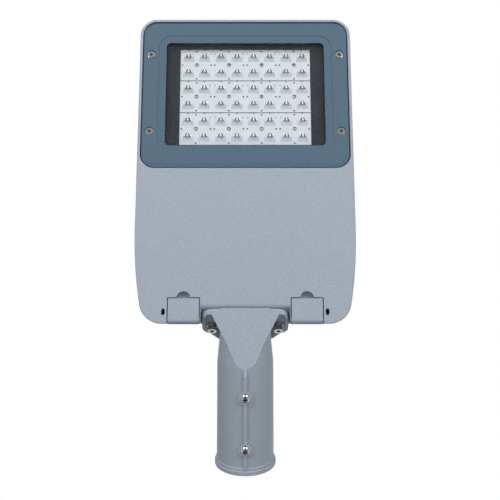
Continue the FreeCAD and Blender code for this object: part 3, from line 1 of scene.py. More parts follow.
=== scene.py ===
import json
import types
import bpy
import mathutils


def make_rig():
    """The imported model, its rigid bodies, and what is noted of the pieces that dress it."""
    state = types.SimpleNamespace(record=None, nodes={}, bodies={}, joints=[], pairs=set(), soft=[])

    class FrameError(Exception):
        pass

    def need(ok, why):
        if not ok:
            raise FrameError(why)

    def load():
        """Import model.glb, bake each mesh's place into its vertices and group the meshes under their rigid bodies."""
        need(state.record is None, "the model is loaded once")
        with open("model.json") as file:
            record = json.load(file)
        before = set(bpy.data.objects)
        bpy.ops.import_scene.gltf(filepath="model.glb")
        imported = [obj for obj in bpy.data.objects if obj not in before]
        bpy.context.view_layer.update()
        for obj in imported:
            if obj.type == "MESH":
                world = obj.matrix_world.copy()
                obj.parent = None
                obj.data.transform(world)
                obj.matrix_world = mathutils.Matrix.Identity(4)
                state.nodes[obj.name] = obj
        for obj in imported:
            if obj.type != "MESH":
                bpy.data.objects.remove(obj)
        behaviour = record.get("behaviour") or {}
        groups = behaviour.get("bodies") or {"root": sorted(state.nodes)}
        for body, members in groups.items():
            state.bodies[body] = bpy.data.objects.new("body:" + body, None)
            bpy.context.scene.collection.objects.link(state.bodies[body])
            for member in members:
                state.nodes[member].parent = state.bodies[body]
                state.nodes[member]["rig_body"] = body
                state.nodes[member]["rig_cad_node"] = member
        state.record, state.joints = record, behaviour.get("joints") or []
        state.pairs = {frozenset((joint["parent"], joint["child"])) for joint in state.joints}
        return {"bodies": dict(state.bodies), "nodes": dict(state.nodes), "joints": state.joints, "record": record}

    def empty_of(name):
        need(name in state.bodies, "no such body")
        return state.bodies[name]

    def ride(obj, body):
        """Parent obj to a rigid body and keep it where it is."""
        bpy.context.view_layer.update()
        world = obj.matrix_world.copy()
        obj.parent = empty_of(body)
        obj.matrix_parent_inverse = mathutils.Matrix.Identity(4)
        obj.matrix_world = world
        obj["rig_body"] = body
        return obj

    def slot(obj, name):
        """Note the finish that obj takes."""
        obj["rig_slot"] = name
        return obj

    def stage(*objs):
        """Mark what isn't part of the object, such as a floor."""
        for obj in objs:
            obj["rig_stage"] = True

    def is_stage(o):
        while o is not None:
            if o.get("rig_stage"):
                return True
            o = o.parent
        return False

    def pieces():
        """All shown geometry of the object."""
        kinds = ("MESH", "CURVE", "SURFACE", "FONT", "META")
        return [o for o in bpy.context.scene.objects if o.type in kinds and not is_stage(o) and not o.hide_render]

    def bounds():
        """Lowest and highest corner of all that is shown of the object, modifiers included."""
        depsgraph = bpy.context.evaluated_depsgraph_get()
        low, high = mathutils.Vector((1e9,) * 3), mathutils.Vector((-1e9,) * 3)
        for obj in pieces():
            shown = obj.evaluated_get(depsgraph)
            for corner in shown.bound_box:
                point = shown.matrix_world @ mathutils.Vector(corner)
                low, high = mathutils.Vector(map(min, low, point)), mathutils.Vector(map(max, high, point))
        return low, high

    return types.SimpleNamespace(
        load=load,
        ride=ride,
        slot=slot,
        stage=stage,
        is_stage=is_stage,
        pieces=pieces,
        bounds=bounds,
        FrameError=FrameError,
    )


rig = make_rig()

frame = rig.load()

import json
import math

import bpy
from bpy.props import FloatProperty, PointerProperty, StringProperty
from mathutils import Matrix, Vector

bl_info = {
    "name": "LED Street Light Head",
    "version": (1, 0, 0),
    "blender": (4, 5, 0),
    "location": "View3D > Sidebar > Street Light",
    "description": "Finishes, light modules and studio stage of an LED street light head",
    "category": "Object",
}

CAD_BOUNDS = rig.bounds()
NODES = frame["nodes"]
MM = 0.001
BODY = "head"


def node_box(name):
    """The lowest and highest corner of a CAD piece."""
    corners = [Vector(corner) for corner in NODES[name].bound_box]
    low = Vector([min(corner[i] for corner in corners) for i in range(3)])
    high = Vector([max(corner[i] for corner in corners) for i in range(3)])
    return low, high


# The housing's front edge and its light face, from which the stage is measured
FRONT_Y = node_box("housing")[1].y
FACE_Z = node_box("housing")[0].z

# The screws whose sockets are shaded, as the CAD piece places them
FRAME_HEAD_RADIUS = 6.2 * MM
CLAMP_DISTANCES = (40 * MM, 118.3 * MM)
CLAMP_TOP_RADIUS = 49.6 * MM
SOCKET_RADIUS = 2.8 * MM
# How deep the black cones of painted socket shade sit under a head; at 0.1 mm the whole frame screw socket is dark
FRAME_SOCKET_DEPTH = 0.1 * MM
CLAMP_SOCKET_DEPTH = 1.0 * MM
TUBE_TILT = math.radians(21)

# Black strips of painted shade in the gap round the latch flaps
LATCH_SHADE_CLEARANCE = 0.05 * MM
LATCH_SHADE_WIDTH = 1.2 * MM
LATCH_SHADE_DEPTH = 0.3 * MM
LATCH_BARREL_LENGTH = 15.5 * MM
FINGER_HALF_WIDTH = 10.2 * MM

# The strips between the rows of lens blocks: how deep they start and end under the blocks' face
STRIP_SUNK = 0.1 * MM
STRIP_FOOT = 1.6 * MM
TRIM_EDGE = 0.2 * MM

# The copper contacts, and how far they lie from the corner of their block
CONTACT_SIZE = (1.5 * MM, 3 * MM, 0.5 * MM)
CONTACT_INSET_X = 3.4 * MM
CONTACT_INSET_Y = 7 * MM

# How far the module trim is moved towards the spigot from the middle of its hole or lens
CAP_SHIFT = 0.6 * MM
DIODE_SHIFT = 0.1 * MM
LEG_LEAN = 0.15 * MM

# How flat the module trim lies, as a share of its own width
LEG_FLATNESS = 0.15
PIN_FLATNESS = 0.3
CAP_FLATNESS = 0.4
BORE_SHADE_FLATNESS = 0.6
DIODE_FLATNESS = 0.9

# The photograph's width in pixels
PHOTO_WIDTH_PX = 500

# The studio, in metres: where the lamps point, and the black cloths
LAMP_TARGET = Vector((0, 0.33, -0.06))
CLOTH_SIZE = 3
CLOTH_DISTANCE = 2.3
CLOTH_HEIGHT = -0.8


# Colours and shader nodes

def linear(hex_colour):
    """An sRGB hex colour as the four linear numbers that a shader socket takes."""
    channels = [int(hex_colour[i:i + 2], 16) / 255 for i in (1, 3, 5)]
    return [c / 12.92 if c <= 0.04045 else ((c + 0.055) / 1.055) ** 2.4 for c in channels] + [1.0]


def add_node(tree, kind, links=None, **settings):
    """Adds a shader node. Settings name its attributes, or its sockets with 'in_' before them."""
    node = tree.nodes.new(kind)
    for name, value in settings.items():
        if name.startswith("in_"):
            key = name[3:]
            node.inputs[int(key) if key.isdigit() else key.replace("_", " ")].default_value = value
        else:
            setattr(node, name, value)
    for name, source in (links or {}).items():
        tree.links.new(source, node.inputs[name])
    return node


def new_material(name):
    """A material with only an output, and the Object coordinates that its patterns read."""
    material = bpy.data.materials.new(name)
    material.use_nodes = True
    tree = material.node_tree
    tree.nodes.clear()
    output = add_node(tree, "ShaderNodeOutputMaterial")
    place = add_node(tree, "ShaderNodeTexCoord").outputs["Object"]
    return material, tree, output, place


def speckle(tree, place, grain, dark, light, low=0.35, high=0.65, detail=3.0):
    """Two close colours mixed by a noise whose grain is a real size in metres."""
    noise = add_node(
        tree, "ShaderNodeTexNoise", {"Vector": place}, in_Scale=1 / grain, in_Detail=detail)
    ramp = add_node(tree, "ShaderNodeValToRGB", {"Fac": noise.outputs["Fac"]})
    ramp.color_ramp.elements[0].position = low
    ramp.color_ramp.elements[0].color = linear(dark)
    ramp.color_ramp.elements[1].position = high
    ramp.color_ramp.elements[1].color = linear(light)
    return noise, ramp


def finish_shader(tree, output, colour, height=None, strength=0.1, depth=0.1 * MM, **sockets):
    """A Principled shader with a linked colour, an optional bump and plain numbers."""
    links = {"Base Color": colour}
    if height is not None:
        bump = add_node(
            tree, "ShaderNodeBump", {"Height": height}, in_Strength=strength, in_Distance=depth)
        links["Normal"] = bump.outputs["Normal"]
    shader = add_node(tree, "ShaderNodeBsdfPrincipled", links)
    for name, value in sockets.items():
        shader.inputs[name.replace("_", " ")].default_value = value
    tree.links.new(shader.outputs["BSDF"], output.inputs["Surface"])
    return shader


# Finishes

def powder_coat(name, dark, light):
    """Polyester powder coat on die-cast aluminium: a satin skin with a fine orange peel."""
    material, tree, output, place = new_material(name)
    # The real peel is about 0.8 mm, drawn at 1.6 mm so that it still shows in a small render
    peel, colour = speckle(tree, place, 1.6 * MM, dark, light)
    finish_shader(
        tree, output, colour.outputs["Color"], peel.outputs["Fac"], 0.25, 0.12 * MM,
        Roughness=0.6, Specular_IOR_Level=0.2)
    return material


def bright_steel(name, grain, roughness):
    """Stainless steel as turned and tumbled: a bright metal with faint turning marks."""
    material, tree, output, place = new_material(name)
    marks, colour = speckle(tree, place, grain, "#A0A1A2", "#BCBDBE")
    finish_shader(
        tree, output, colour.outputs["Color"], marks.outputs["Fac"], 0.15, 0.05 * MM,
        Metallic=1.0, Roughness=roughness)
    return material


def zinc_sheet():
    """Zinc-plated sheet steel: a cool grey metal with the soft cloudy spangle of the bath."""
    material, tree, output, place = new_material("zinc_plated_sheet")
    cells = add_node(
        tree, "ShaderNodeTexVoronoi", {"Vector": place}, in_Scale=1 / (9 * MM))
    ramp = add_node(tree, "ShaderNodeValToRGB", {"Fac": cells.outputs["Distance"]})
    ramp.color_ramp.elements[0].color = linear("#A9ADB0")
    ramp.color_ramp.elements[1].color = linear("#C9CCCE")
    finish_shader(tree, output, ramp.outputs["Color"], Metallic=1.0, Roughness=0.38)
    return material


def moulded_plastic(name, dark, light, roughness=0.5, grain=1.2 * MM, gloss=0.5):
    """Injection-moulded plastic: an even colour with the fine spark texture of its mould."""
    material, tree, output, place = new_material(name)
    spark, colour = speckle(tree, place, grain, dark, light)
    finish_shader(
        tree, output, colour.outputs["Color"], spark.outputs["Fac"], 0.2, 0.05 * MM,
        Roughness=roughness, Specular_IOR_Level=gloss)
    return material


def silicone_rubber_and_painted_shade():
    """Black silicone rubber: dull, with a faint bloom in patches. It also colours the black strips of painted shade in
    the latch gaps.
    """
    material, tree, output, place = new_material("silicone_rubber_and_painted_shade")
    bloom, colour = speckle(tree, place, 6 * MM, "#161718", "#232425")
    finish_shader(
        tree, output, colour.outputs["Color"], bloom.outputs["Fac"], 0.2, 0.05 * MM,
        Roughness=0.75)
    return material


def tempered_glass():
    """Clear tempered glass: almost nothing of its own but a thin grey haze, partly dust and partly painted reflection,
    and its own gloss.
    """
    material, tree, output, place = new_material("tempered_glass")
    # The grey at low alpha is partly dust haze, partly painted reflection over the dark cavity
    _, colour = speckle(tree, place, 40 * MM, "#7C8388", "#888F94")
    finish_shader(
        tree, output, colour.outputs["Color"], Roughness=0.03, Alpha=0.08, IOR=1.5,
        Specular_IOR_Level=0.25)
    material.blend_method = "BLEND"
    return material


def acrylic_lens(face_z):
    """Moulded acrylic: pale on its face, greyer on the low ribs, and painted near-white up on the clear domes, where
    the light shows through them.
    """
    material, tree, output, place = new_material("moulded_acrylic_with_painted_light")
    apart = add_node(tree, "ShaderNodeSeparateXYZ", {"Vector": place})
    height = add_node(
        tree, "ShaderNodeMapRange", {"Value": apart.outputs["Z"]}, in_From_Min=face_z,
        in_From_Max=face_z - 2 * MM, in_To_Min=0.0, in_To_Max=1.0)
    ramp = add_node(tree, "ShaderNodeValToRGB", {"Fac": height.outputs["Result"]})
    # The near-white last step is painted light on the clear domes
    steps = ((0.1, "#E4EBF1"), (0.2, "#C2C8CD"), (0.56, "#CFD4D8"), (0.66, "#FDFEFE"))
    for _ in range(len(steps) - 2):
        ramp.color_ramp.elements.new(0.5)
    for element, (position, colour) in zip(ramp.color_ramp.elements, steps):
        element.position = position
        element.color = linear(colour)
    flow = add_node(
        tree, "ShaderNodeTexNoise", {"Vector": place}, in_Scale=1 / (9 * MM), in_Detail=1.0)
    finish_shader(
        tree, output, ramp.outputs["Color"], flow.outputs["Fac"], 0.12, 0.2 * MM,
        Roughness=0.2, Specular_IOR_Level=0.4)
    return material


def solder_lacquer():
    """White solder lacquer on an aluminium board: smooth, with a slight mottle."""
    return moulded_plastic("solder_lacquer", "#DDE1E3", "#ECEFF0", 0.35, 3 * MM)


def phosphor_gel():
    """The yellow phosphor gel over a light-emitting diode."""
    return moulded_plastic("phosphor_gel", "#E0BE7C", "#EED3A0", 0.6, 0.5 * MM)


def lens_shade():
    """The dark inside of a lens as its hollow mirrors it, a blue-grey with a glossy skin."""
    return moulded_plastic("lens_hollow_shade", "#465162", "#6C7887", 0.22, 2.5 * MM)


def pin_plastic_and_bore_shade():
    """Dark grey plastic of the pins that hold a lens block to its board. It also colours the half rings of painted
    shade in the screw bores.
    """
    return moulded_plastic("pin_plastic_and_bore_shade", "#33373B", "#474C51", 0.5, 0.8 * MM)


def copper_pad():
    """Tinned copper of the contacts at the corners of a board, dull orange-brown."""
    return moulded_plastic("tinned_copper", "#B08A62", "#CBB090", 0.4, 0.8 * MM)


def mix_by_ray(tree, output, rays, plain, other):
    """Shows the other shader to the named kinds of ray, and the plain one to all the rest."""
    path = add_node(tree, "ShaderNodeLightPath")
    chosen = path.outputs[rays[0]]
    for ray in rays[1:]:
        either = add_node(
            tree, "ShaderNodeMath", {0: chosen, 1: path.outputs[ray]}, operation="MAXIMUM")
        chosen = either.outputs["Value"]
    mix = add_node(
        tree, "ShaderNodeMixShader", {"Fac": chosen, 1: plain.outputs[0], 2: other.outputs[0]})
    tree.links.new(mix.outputs["Shader"], output.inputs["Surface"])


def backdrop_white():
    """White matt paper under the object, which metal and glass mirror as lit."""
    material, tree, output, place = new_material("backdrop_white")
    _, colour = speckle(tree, place, 30 * MM, "#F4F4F4", "#FAFAFA")
    paper = finish_shader(tree, output, colour.outputs["Color"], Roughness=0.9)
    glow = add_node(tree, "ShaderNodeEmission", in_Strength=0.6, in_Color=linear("#FFFFFF"))
    mix_by_ray(tree, output, ("Is Glossy Ray", "Is Transmission Ray"), paper, glow)
    return material


def black_felt():
    """Black studio cloth: the object mirrors it, and the camera sees the white room behind it."""
    material, tree, output, place = new_material("black_felt")
    _, colour = speckle(tree, place, 3 * MM, "#0A0A0B", "#151516")
    cloth = finish_shader(tree, output, colour.outputs["Color"], Roughness=0.9)
    clear = add_node(tree, "ShaderNodeBsdfTransparent")
    mix_by_ray(tree, output, ("Is Camera Ray",), cloth, clear)
    return material


# Meshes

def deselect_all():
    """Leaves nothing selected, so that an operator can't touch an older piece."""
    for other in bpy.context.selected_objects:
        other.select_set(False)


def select_only(obj):
    """Makes one object the only one that the next operator works on."""
    deselect_all()
    obj.select_set(True)
    bpy.context.view_layer.objects.active = obj


def apply_place(obj):
    """Moves the object's place into its mesh, so that the object sits at the origin."""
    select_only(obj)
    bpy.ops.object.transform_apply(location=True, rotation=True, scale=True)


def apply_modifier(obj, kind, **settings):
    """Adds a modifier with the given settings and applies it at once."""
    select_only(obj)
    modifier = obj.modifiers.new(kind.lower(), kind)
    for name, value in settings.items():
        setattr(modifier, name, value)
    bpy.ops.object.modifier_apply(modifier=modifier.name)


def copy_at(original, name, place):
    """A copy with its own mesh, moved by place."""
    copy = original.copy()
    copy.data = original.data.copy()
    copy.name = name
    bpy.context.collection.objects.link(copy)
    copy.data.transform(Matrix.Translation(place))
    return copy


def join(pieces, name):
    """Joins like pieces into one object."""
    select_only(pieces[0])
    for piece in pieces[1:]:
        piece.select_set(True)
    bpy.ops.object.join()
    joined = bpy.context.view_layer.objects.active
    joined.name = name
    joined.data.name = name
    return joined


def keep_faces(obj, wanted):
    """Deletes the faces whose middle doesn't pass the test."""
    select_only(obj)
    bpy.ops.object.mode_set(mode="EDIT")
    bpy.ops.mesh.select_mode(type="FACE")
    bpy.ops.mesh.select_all(action="DESELECT")
    bpy.ops.object.mode_set(mode="OBJECT")
    for face in obj.data.polygons:
        face.select = not wanted(face.center)
    bpy.ops.object.mode_set(mode="EDIT")
    bpy.ops.mesh.delete(type="FACE")
    bpy.ops.object.mode_set(mode="OBJECT")


def give(obj, material, slot_name):
    """The piece's only material, its record slot, and the body that it rides on."""
    obj.data.materials.clear()
    obj.data.materials.append(material)
    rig.slot(obj, slot_name)
    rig.ride(obj, BODY)
    return obj


def paint(nodes, material):
    """Gives CAD pieces a material in place of their own."""
    for name in nodes:
        NODES[name].data.materials.clear()
        NODES[name].data.materials.append(material)


def smooth(nodes, degrees):
    """Smooth shading on CAD pieces, except across edges sharper than the given angle."""
    for name in nodes:
        select_only(NODES[name])
        bpy.ops.object.shade_smooth_by_angle(angle=math.radians(degrees))
    deselect_all()


def named(*starts):
    """The names of the CAD pieces that start with one of these words."""
    return [name for name in NODES if name.startswith(starts)]


def stage_place(x, y, z):
    """A place measured from the housing's front edge and its light face."""
    return Vector((x, FRONT_Y + y, FACE_Z + z))


# Details of the light modules

class LensArray:
    """The lens blocks: where each cell is, and the height of a dome over the block's face."""

    def __init__(self, lens):
        self.lens = lens
        self.blocks = [node_box(name) for name in named("lens_block")]
        self.face_z = self.blocks[0][0].z + lens.dome_height
        radius, height = lens.dome_radius, lens.dome_height
        self.sphere_radius = (radius * radius + height * height) / (2 * height)

    def dome_rise(self, x, y):
        """Height of the dome over the block's face at a place measured from its cell."""
        away = min(math.hypot(x, y - self.lens.dome_shift), self.lens.dome_radius)
        drop = self.sphere_radius - math.sqrt(self.sphere_radius ** 2 - away ** 2)
        return self.lens.dome_height - drop

    def cells(self):
        """The middle of each lens, four to a block."""
        for low, high in self.blocks:
            middle = (low + high) / 2
            for side_x in (-0.5, 0.5):
                for side_y in (-0.5, 0.5):
                    yield Vector((
                        middle.x + self.lens.pitch_x * side_x,
                        middle.y + self.lens.pitch_y * side_y, self.face_z))

    def edge_middles(self, inset):
        """Places at the middle of a block's four edges, set in from them."""
        for low, high in self.blocks:
            middle = (low + high) / 2
            yield Vector((low.x + inset, middle.y, self.face_z))
            yield Vector((high.x - inset, middle.y, self.face_z))
            yield Vector((middle.x, low.y + inset, self.face_z))
            yield Vector((middle.x, high.y - inset, self.face_z))

    def screw_tops(self):
        """The head of the screw in the middle of each block."""
        height = node_box("module_screws")[0].z
        for low, high in self.blocks:
            yield Vector(((low.x + high.x) / 2, (low.y + high.y) / 2, height))

    def front_notches(self):
        """Places on a block's front edge, one in front of each lens."""
        for low, high in self.blocks:
            for side in (-0.5, 0.5):
                x = (low.x + high.x) / 2 + self.lens.pitch_x * side
                yield Vector((x, high.y, self.face_z))

    def seam_corners(self, inset_x, inset_y):
        """Places near the front corners where two blocks of a row meet."""
        left = min(low.x for low, high in self.blocks)
        right = max(high.x for low, high in self.blocks)
        for low, high in self.blocks:
            if low.x > left + inset_x:
                yield Vector((low.x + inset_x, high.y - inset_y, self.face_z))
            if high.x < right - inset_x:
                yield Vector((high.x - inset_x, high.y - inset_y, self.face_z))


def lay_on_dome(obj, array):
    """Lifts each point of a flat shape by the dome's height under it. Down is away from the block."""
    for vertex in obj.data.vertices:
        vertex.co.z -= array.dome_rise(vertex.co.x, vertex.co.y)


def model_half_ring(radius, thickness, stretch, flattening):
    """The front half of a ring, stretched along the head and flattened in height."""
    deselect_all()
    bpy.ops.mesh.primitive_torus_add(
        major_radius=radius - thickness, minor_radius=thickness, major_segments=32,
        minor_segments=10)
    ring = bpy.context.active_object
    keep_faces(ring, lambda middle: middle.y > 0)
    ring.scale = (1, stretch, flattening)
    apply_place(ring)
    bpy.ops.object.shade_smooth()
    return ring


def model_arch_reflection(array):
    """A painted reflection of a lens's hollow: two dark legs, closer at their top, laid on the dome and down its flat
    side.
    """
    lens = array.lens
    radius = lens.arch_width / 2
    arch = model_half_ring(
        radius, lens.leg_share * radius, lens.arch_length / radius, LEG_FLATNESS)
    keep_faces(arch, lambda middle: abs(middle.x) > lens.arch_gap / 2)
    for vertex in arch.data.vertices:
        vertex.co.x *= 1 - lens.arch_taper * max(vertex.co.y, 0) / lens.arch_length
    arch.data.transform(Matrix.Translation((0, lens.dome_shift, 0)))
    lay_on_dome(arch, array)
    select_only(arch)
    bpy.ops.object.mode_set(mode="EDIT")
    bpy.ops.mesh.select_mode(type="EDGE")
    bpy.ops.mesh.select_all(action="DESELECT")
    bpy.ops.mesh.select_non_manifold()
    bpy.ops.mesh.extrude_region_move(
        TRANSFORM_OT_translate={"value": (0, -LEG_LEAN, lens.dome_height / 2)})
    bpy.ops.object.mode_set(mode="OBJECT")
    return arch


def model_drop(radius, flatness, whole=True):
    """A flattened ball, or only the half of it that points down, away from the block."""
    deselect_all()
    bpy.ops.mesh.primitive_uv_sphere_add(segments=16, ring_count=8, radius=radius)
    drop = bpy.context.active_object
    if not whole:
        keep_faces(drop, lambda middle: middle.z < 0)
    drop.scale = (1, 1, flatness)
    apply_place(drop)
    bpy.ops.object.shade_smooth()
    return drop


def model_button(radius, flatness):
    """A low round button, as a pin's end or a screw's domed head shows it."""
    return model_drop(radius, flatness, whole=False)


def model_socket_shade(place, depth, tilt):
    """Painted shade for a hexagon socket: a shallow black cone sunk under the screw's head."""
    cone_height = SOCKET_RADIUS / 2
    deselect_all()
    bpy.ops.mesh.primitive_cone_add(
        vertices=6, radius1=SOCKET_RADIUS, radius2=SOCKET_RADIUS / 3, depth=cone_height,
        location=(0, 0, cone_height / 2))
    socket = bpy.context.active_object
    apply_place(socket)
    apply_modifier(socket, "BEVEL", width=SOCKET_RADIUS / 12, segments=2)
    socket.data.transform(Matrix.Translation((0, 0, depth)))
    socket.data.transform(Matrix.Rotation(-tilt, 4, "X"))
    socket.data.transform(Matrix.Translation(place))
    return socket


def frame_screw_places():
    """The middle of each head of the four window frame screws."""
    low, high = node_box("frame_screws")
    radius = FRAME_HEAD_RADIUS
    for x in (low.x + radius, high.x - radius):
        for y in (low.y + radius, high.y - radius):
            yield Vector((x, y, low.z))


def clamp_screw_places():
    """The top of each clamp screw's dome, found from the mouth of the spigot at the origin."""
    for distance in CLAMP_DISTANCES:
        yield Vector((
            0, distance * math.cos(TUBE_TILT) - CLAMP_TOP_RADIUS * math.sin(TUBE_TILT),
            -distance * math.sin(TUBE_TILT) - CLAMP_TOP_RADIUS * math.cos(TUBE_TILT)))


def model_strip(low, high):
    """A straight strip between two corners, its edges rounded: rubber between the block rows, painted shade in the
    latch gaps.
    """
    low, high = Vector(low), Vector(high)
    deselect_all()
    bpy.ops.mesh.primitive_cube_add(size=1, location=(low + high) / 2, scale=high - low)
    strip = bpy.context.active_object
    apply_place(strip)
    apply_modifier(strip, "BEVEL", width=TRIM_EDGE, segments=2)
    return strip


def model_row_strips(array):
    """Black spacer strips in the gaps between the rows of lens blocks."""
    left = min(low.x for low, high in array.blocks)
    right = max(high.x for low, high in array.blocks)
    rows = sorted({(round(low.y, 5), round(high.y, 5)) for low, high in array.blocks})
    strips = []
    for (_, rear_end), (front_start, _) in zip(rows, rows[1:]):
        strips.append(model_strip(
            (left, rear_end, array.face_z + STRIP_SUNK),
            (right, front_start, array.face_z + STRIP_FOOT)))
    return join(strips, "row_strips")


def model_latch_gap_shades():
    """Black strips of painted shade in the gap round each latch flap, open where the finger reaches in."""
    strips = []
    for name in ("latch_left", "latch_right"):
        low, high = node_box(name)
        middle = (low.x + high.x) / 2
        near, far = LATCH_SHADE_CLEARANCE, LATCH_SHADE_CLEARANCE + LATCH_SHADE_WIDTH
        floor, top = FACE_Z + LATCH_SHADE_DEPTH, FACE_Z + LATCH_SHADE_DEPTH + LATCH_SHADE_WIDTH
        rear = low.y + LATCH_BARREL_LENGTH
        for left, right, start, end in (
            (low.x - far, low.x - near, rear, high.y + far),
            (high.x + near, high.x + far, rear, high.y + far),
            (low.x - near, middle - FINGER_HALF_WIDTH, high.y + near, high.y + far),
            (middle + FINGER_HALF_WIDTH, high.x + near, high.y + near, high.y + far),
        ):
            strips.append(model_strip((left, start, floor), (right, end, top)))
    return join(strips, "latch_gap_shades")


def model_contact():
    """A small contact with rounded edges."""
    deselect_all()
    bpy.ops.mesh.primitive_cube_add(size=1, scale=CONTACT_SIZE)
    contact = bpy.context.active_object
    apply_place(contact)
    apply_modifier(contact, "BEVEL", width=TRIM_EDGE, segments=2)
    return contact


def spread(pattern, places, name):
    """Copies a pattern to each place and joins the copies into one piece."""
    copies = [copy_at(pattern, name, place) for place in places]
    bpy.data.objects.remove(pattern)
    return join(copies, name)


# Settings

class CoatSettings(bpy.types.PropertyGroup):
    housing_dark: StringProperty(
        name="Housing dark", default="#96A0AB",
        description="Darker speckle of the housing's powder coat")
    housing_light: StringProperty(
        name="Housing light", default="#A3ACB7",
        description="Lighter speckle of the housing's powder coat")
    frame_dark: StringProperty(
        name="Frame dark", default="#4B6170",
        description="Darker speckle of the window frame's powder coat")
    frame_light: StringProperty(
        name="Frame light", default="#566D7E",
        description="Lighter speckle of the window frame's powder coat")
    mask_dark: StringProperty(
        name="Mask dark", default="#0F1113", description="Darker speckle of the mask tray")
    mask_light: StringProperty(
        name="Mask light", default="#181B1D", description="Lighter speckle of the mask tray")


class LensSettings(bpy.types.PropertyGroup):
    pitch_x: FloatProperty(
        name="Lens pitch across", default=24.6 * MM, unit="LENGTH",
        description="Distance between the lenses of a block across the head")
    pitch_y: FloatProperty(
        name="Lens pitch along", default=25.4 * MM, unit="LENGTH",
        description="Distance between the lenses of a block along the head")
    dome_radius: FloatProperty(
        name="Dome radius", default=7.4 * MM, unit="LENGTH",
        description="Radius of a lens dome where it meets the block's face")
    dome_height: FloatProperty(
        name="Dome height", default=4.4 * MM, unit="LENGTH",
        description="Height of a lens dome over the block's face")
    dome_shift: FloatProperty(
        name="Dome shift", default=-0.5 * MM, unit="LENGTH",
        description="Where the middle of a dome lies along the head, from its cell's middle")
    # The dark arch is a painted reflection of the lens's hollow
    arch_width: FloatProperty(
        name="Arch width", default=8.4 * MM, unit="LENGTH",
        description="Width of the dark arch inside a lens at its foot")
    arch_length: FloatProperty(
        name="Arch length", default=7.0 * MM, unit="LENGTH",
        description="Length of the dark arch inside a lens along the head")
    arch_gap: FloatProperty(
        name="Arch gap", default=2.4 * MM, unit="LENGTH",
        description="Clear width between the two legs of the dark arch at its top")
    leg_share: FloatProperty(
        name="Leg share", default=0.3,
        description="Thickness of the arch's round, as a share of half its width")
    arch_taper: FloatProperty(
        name="Arch taper", default=0.3,
        description="Share of its width that the dark arch loses towards its top")
    diode_radius: FloatProperty(
        name="Diode radius", default=1.4 * MM, unit="LENGTH",
        description="Radius of the yellow diode as its lens shows it")
    screw_radius: FloatProperty(
        name="Screw cap radius", default=2.2 * MM, unit="LENGTH",
        description="Radius of the domed head of the screw in the middle of a block")
    # The dark half ring in front of the screw is painted shade in its bore
    bore_shade_radius: FloatProperty(
        name="Bore rim radius", default=3.08 * MM, unit="LENGTH",
        description="Radius of the dark rim in front of that screw")
    pin_radius: FloatProperty(
        name="Pin radius", default=1.35 * MM, unit="LENGTH",
        description="Radius of the dark moulding pins at the edges of a block")
    pin_inset: FloatProperty(
        name="Pin inset", default=2.7 * MM, unit="LENGTH",
        description="Distance of the pins from the edge of their block")


class StageSettings(bpy.types.PropertyGroup):
    floor_depth: FloatProperty(
        name="Floor depth", default=2.2, unit="LENGTH",
        description="How far the floor lies below the middle of the object")
    camera_place_y: FloatProperty(
        name="Camera along", default=-0.5552, unit="LENGTH",
        description="Where the camera is along the head, from the housing's front edge")
    camera_place_z: FloatProperty(
        name="Camera height", default=-0.9917, unit="LENGTH",
        description="Where the camera is in height, from the light face")
    aim_y: FloatProperty(
        name="Aim along", default=-0.3625, unit="LENGTH",
        description="Where the camera looks along the head, from the housing's front edge")
    aim_z: FloatProperty(
        name="Aim height", default=-0.0003, unit="LENGTH",
        description="Where the camera looks in height, from the light face")
    lens_length: FloatProperty(
        name="Lens", default=50.4, description="Focal length of the camera in millimetres")
    object_centre_px: FloatProperty(
        name="Object centre", default=245.28,
        description="Column of the photograph on which the object is centred")


# Operators

class STREETHEAD_OT_castings(bpy.types.Operator):
    """Powder coat on the housing, the lid, the latches, the arm and the window frame"""
    bl_idname = "streethead.castings"
    bl_label = "Castings"

    def execute(self, context):
        coat = context.scene.street_coat
        grey = powder_coat("powder_coat_grey", coat.housing_dark, coat.housing_light)
        blue = powder_coat("powder_coat_blue", coat.frame_dark, coat.frame_light)
        castings = named("housing", "heat_sink", "top_lid", "latch_left", "latch_right", "spigot_arm")
        paint(castings, grey)
        paint(["window_frame"], blue)
        smooth(castings + ["window_frame"], 30)
        return {"FINISHED"}


class STREETHEAD_OT_fasteners(bpy.types.Operator):
    """Bright steel on the screws, washers and pins, with painted shade in the sockets of the frame and clamp screws"""
    bl_idname = "streethead.fasteners"
    bl_label = "Fasteners"

    def execute(self, context):
        screws = named("frame_screws", "flange_bolts", "clamp_screw", "module_screws")
        others = named(
            "tray_screws", "driver_screws", "sink_screws", "flat_washers", "spring_washers")
        pins = named("lid_hinge_pin", "latch_pin")
        paint(screws, bright_steel("polished_stainless", 2 * MM, 0.08))
        paint(others + pins, bright_steel("tumbled_stainless", 1 * MM, 0.32))
        smooth(screws + others + pins, 30)
        sockets = [
            model_socket_shade(place, FRAME_SOCKET_DEPTH, 0) for place in frame_screw_places()]
        sockets += [
            model_socket_shade(place, CLAMP_SOCKET_DEPTH, TUBE_TILT) for place in clamp_screw_places()]
        # Painted shade: black cones that darken the sockets of the frame and clamp screws
        black = moulded_plastic("painted_socket_shade", "#0C0D0E", "#1B1D1F", 0.35, 0.8 * MM)
        give(join(sockets, "screw_socket_shades"), black, "zinc_steel")
        deselect_all()
        return {"FINISHED"}


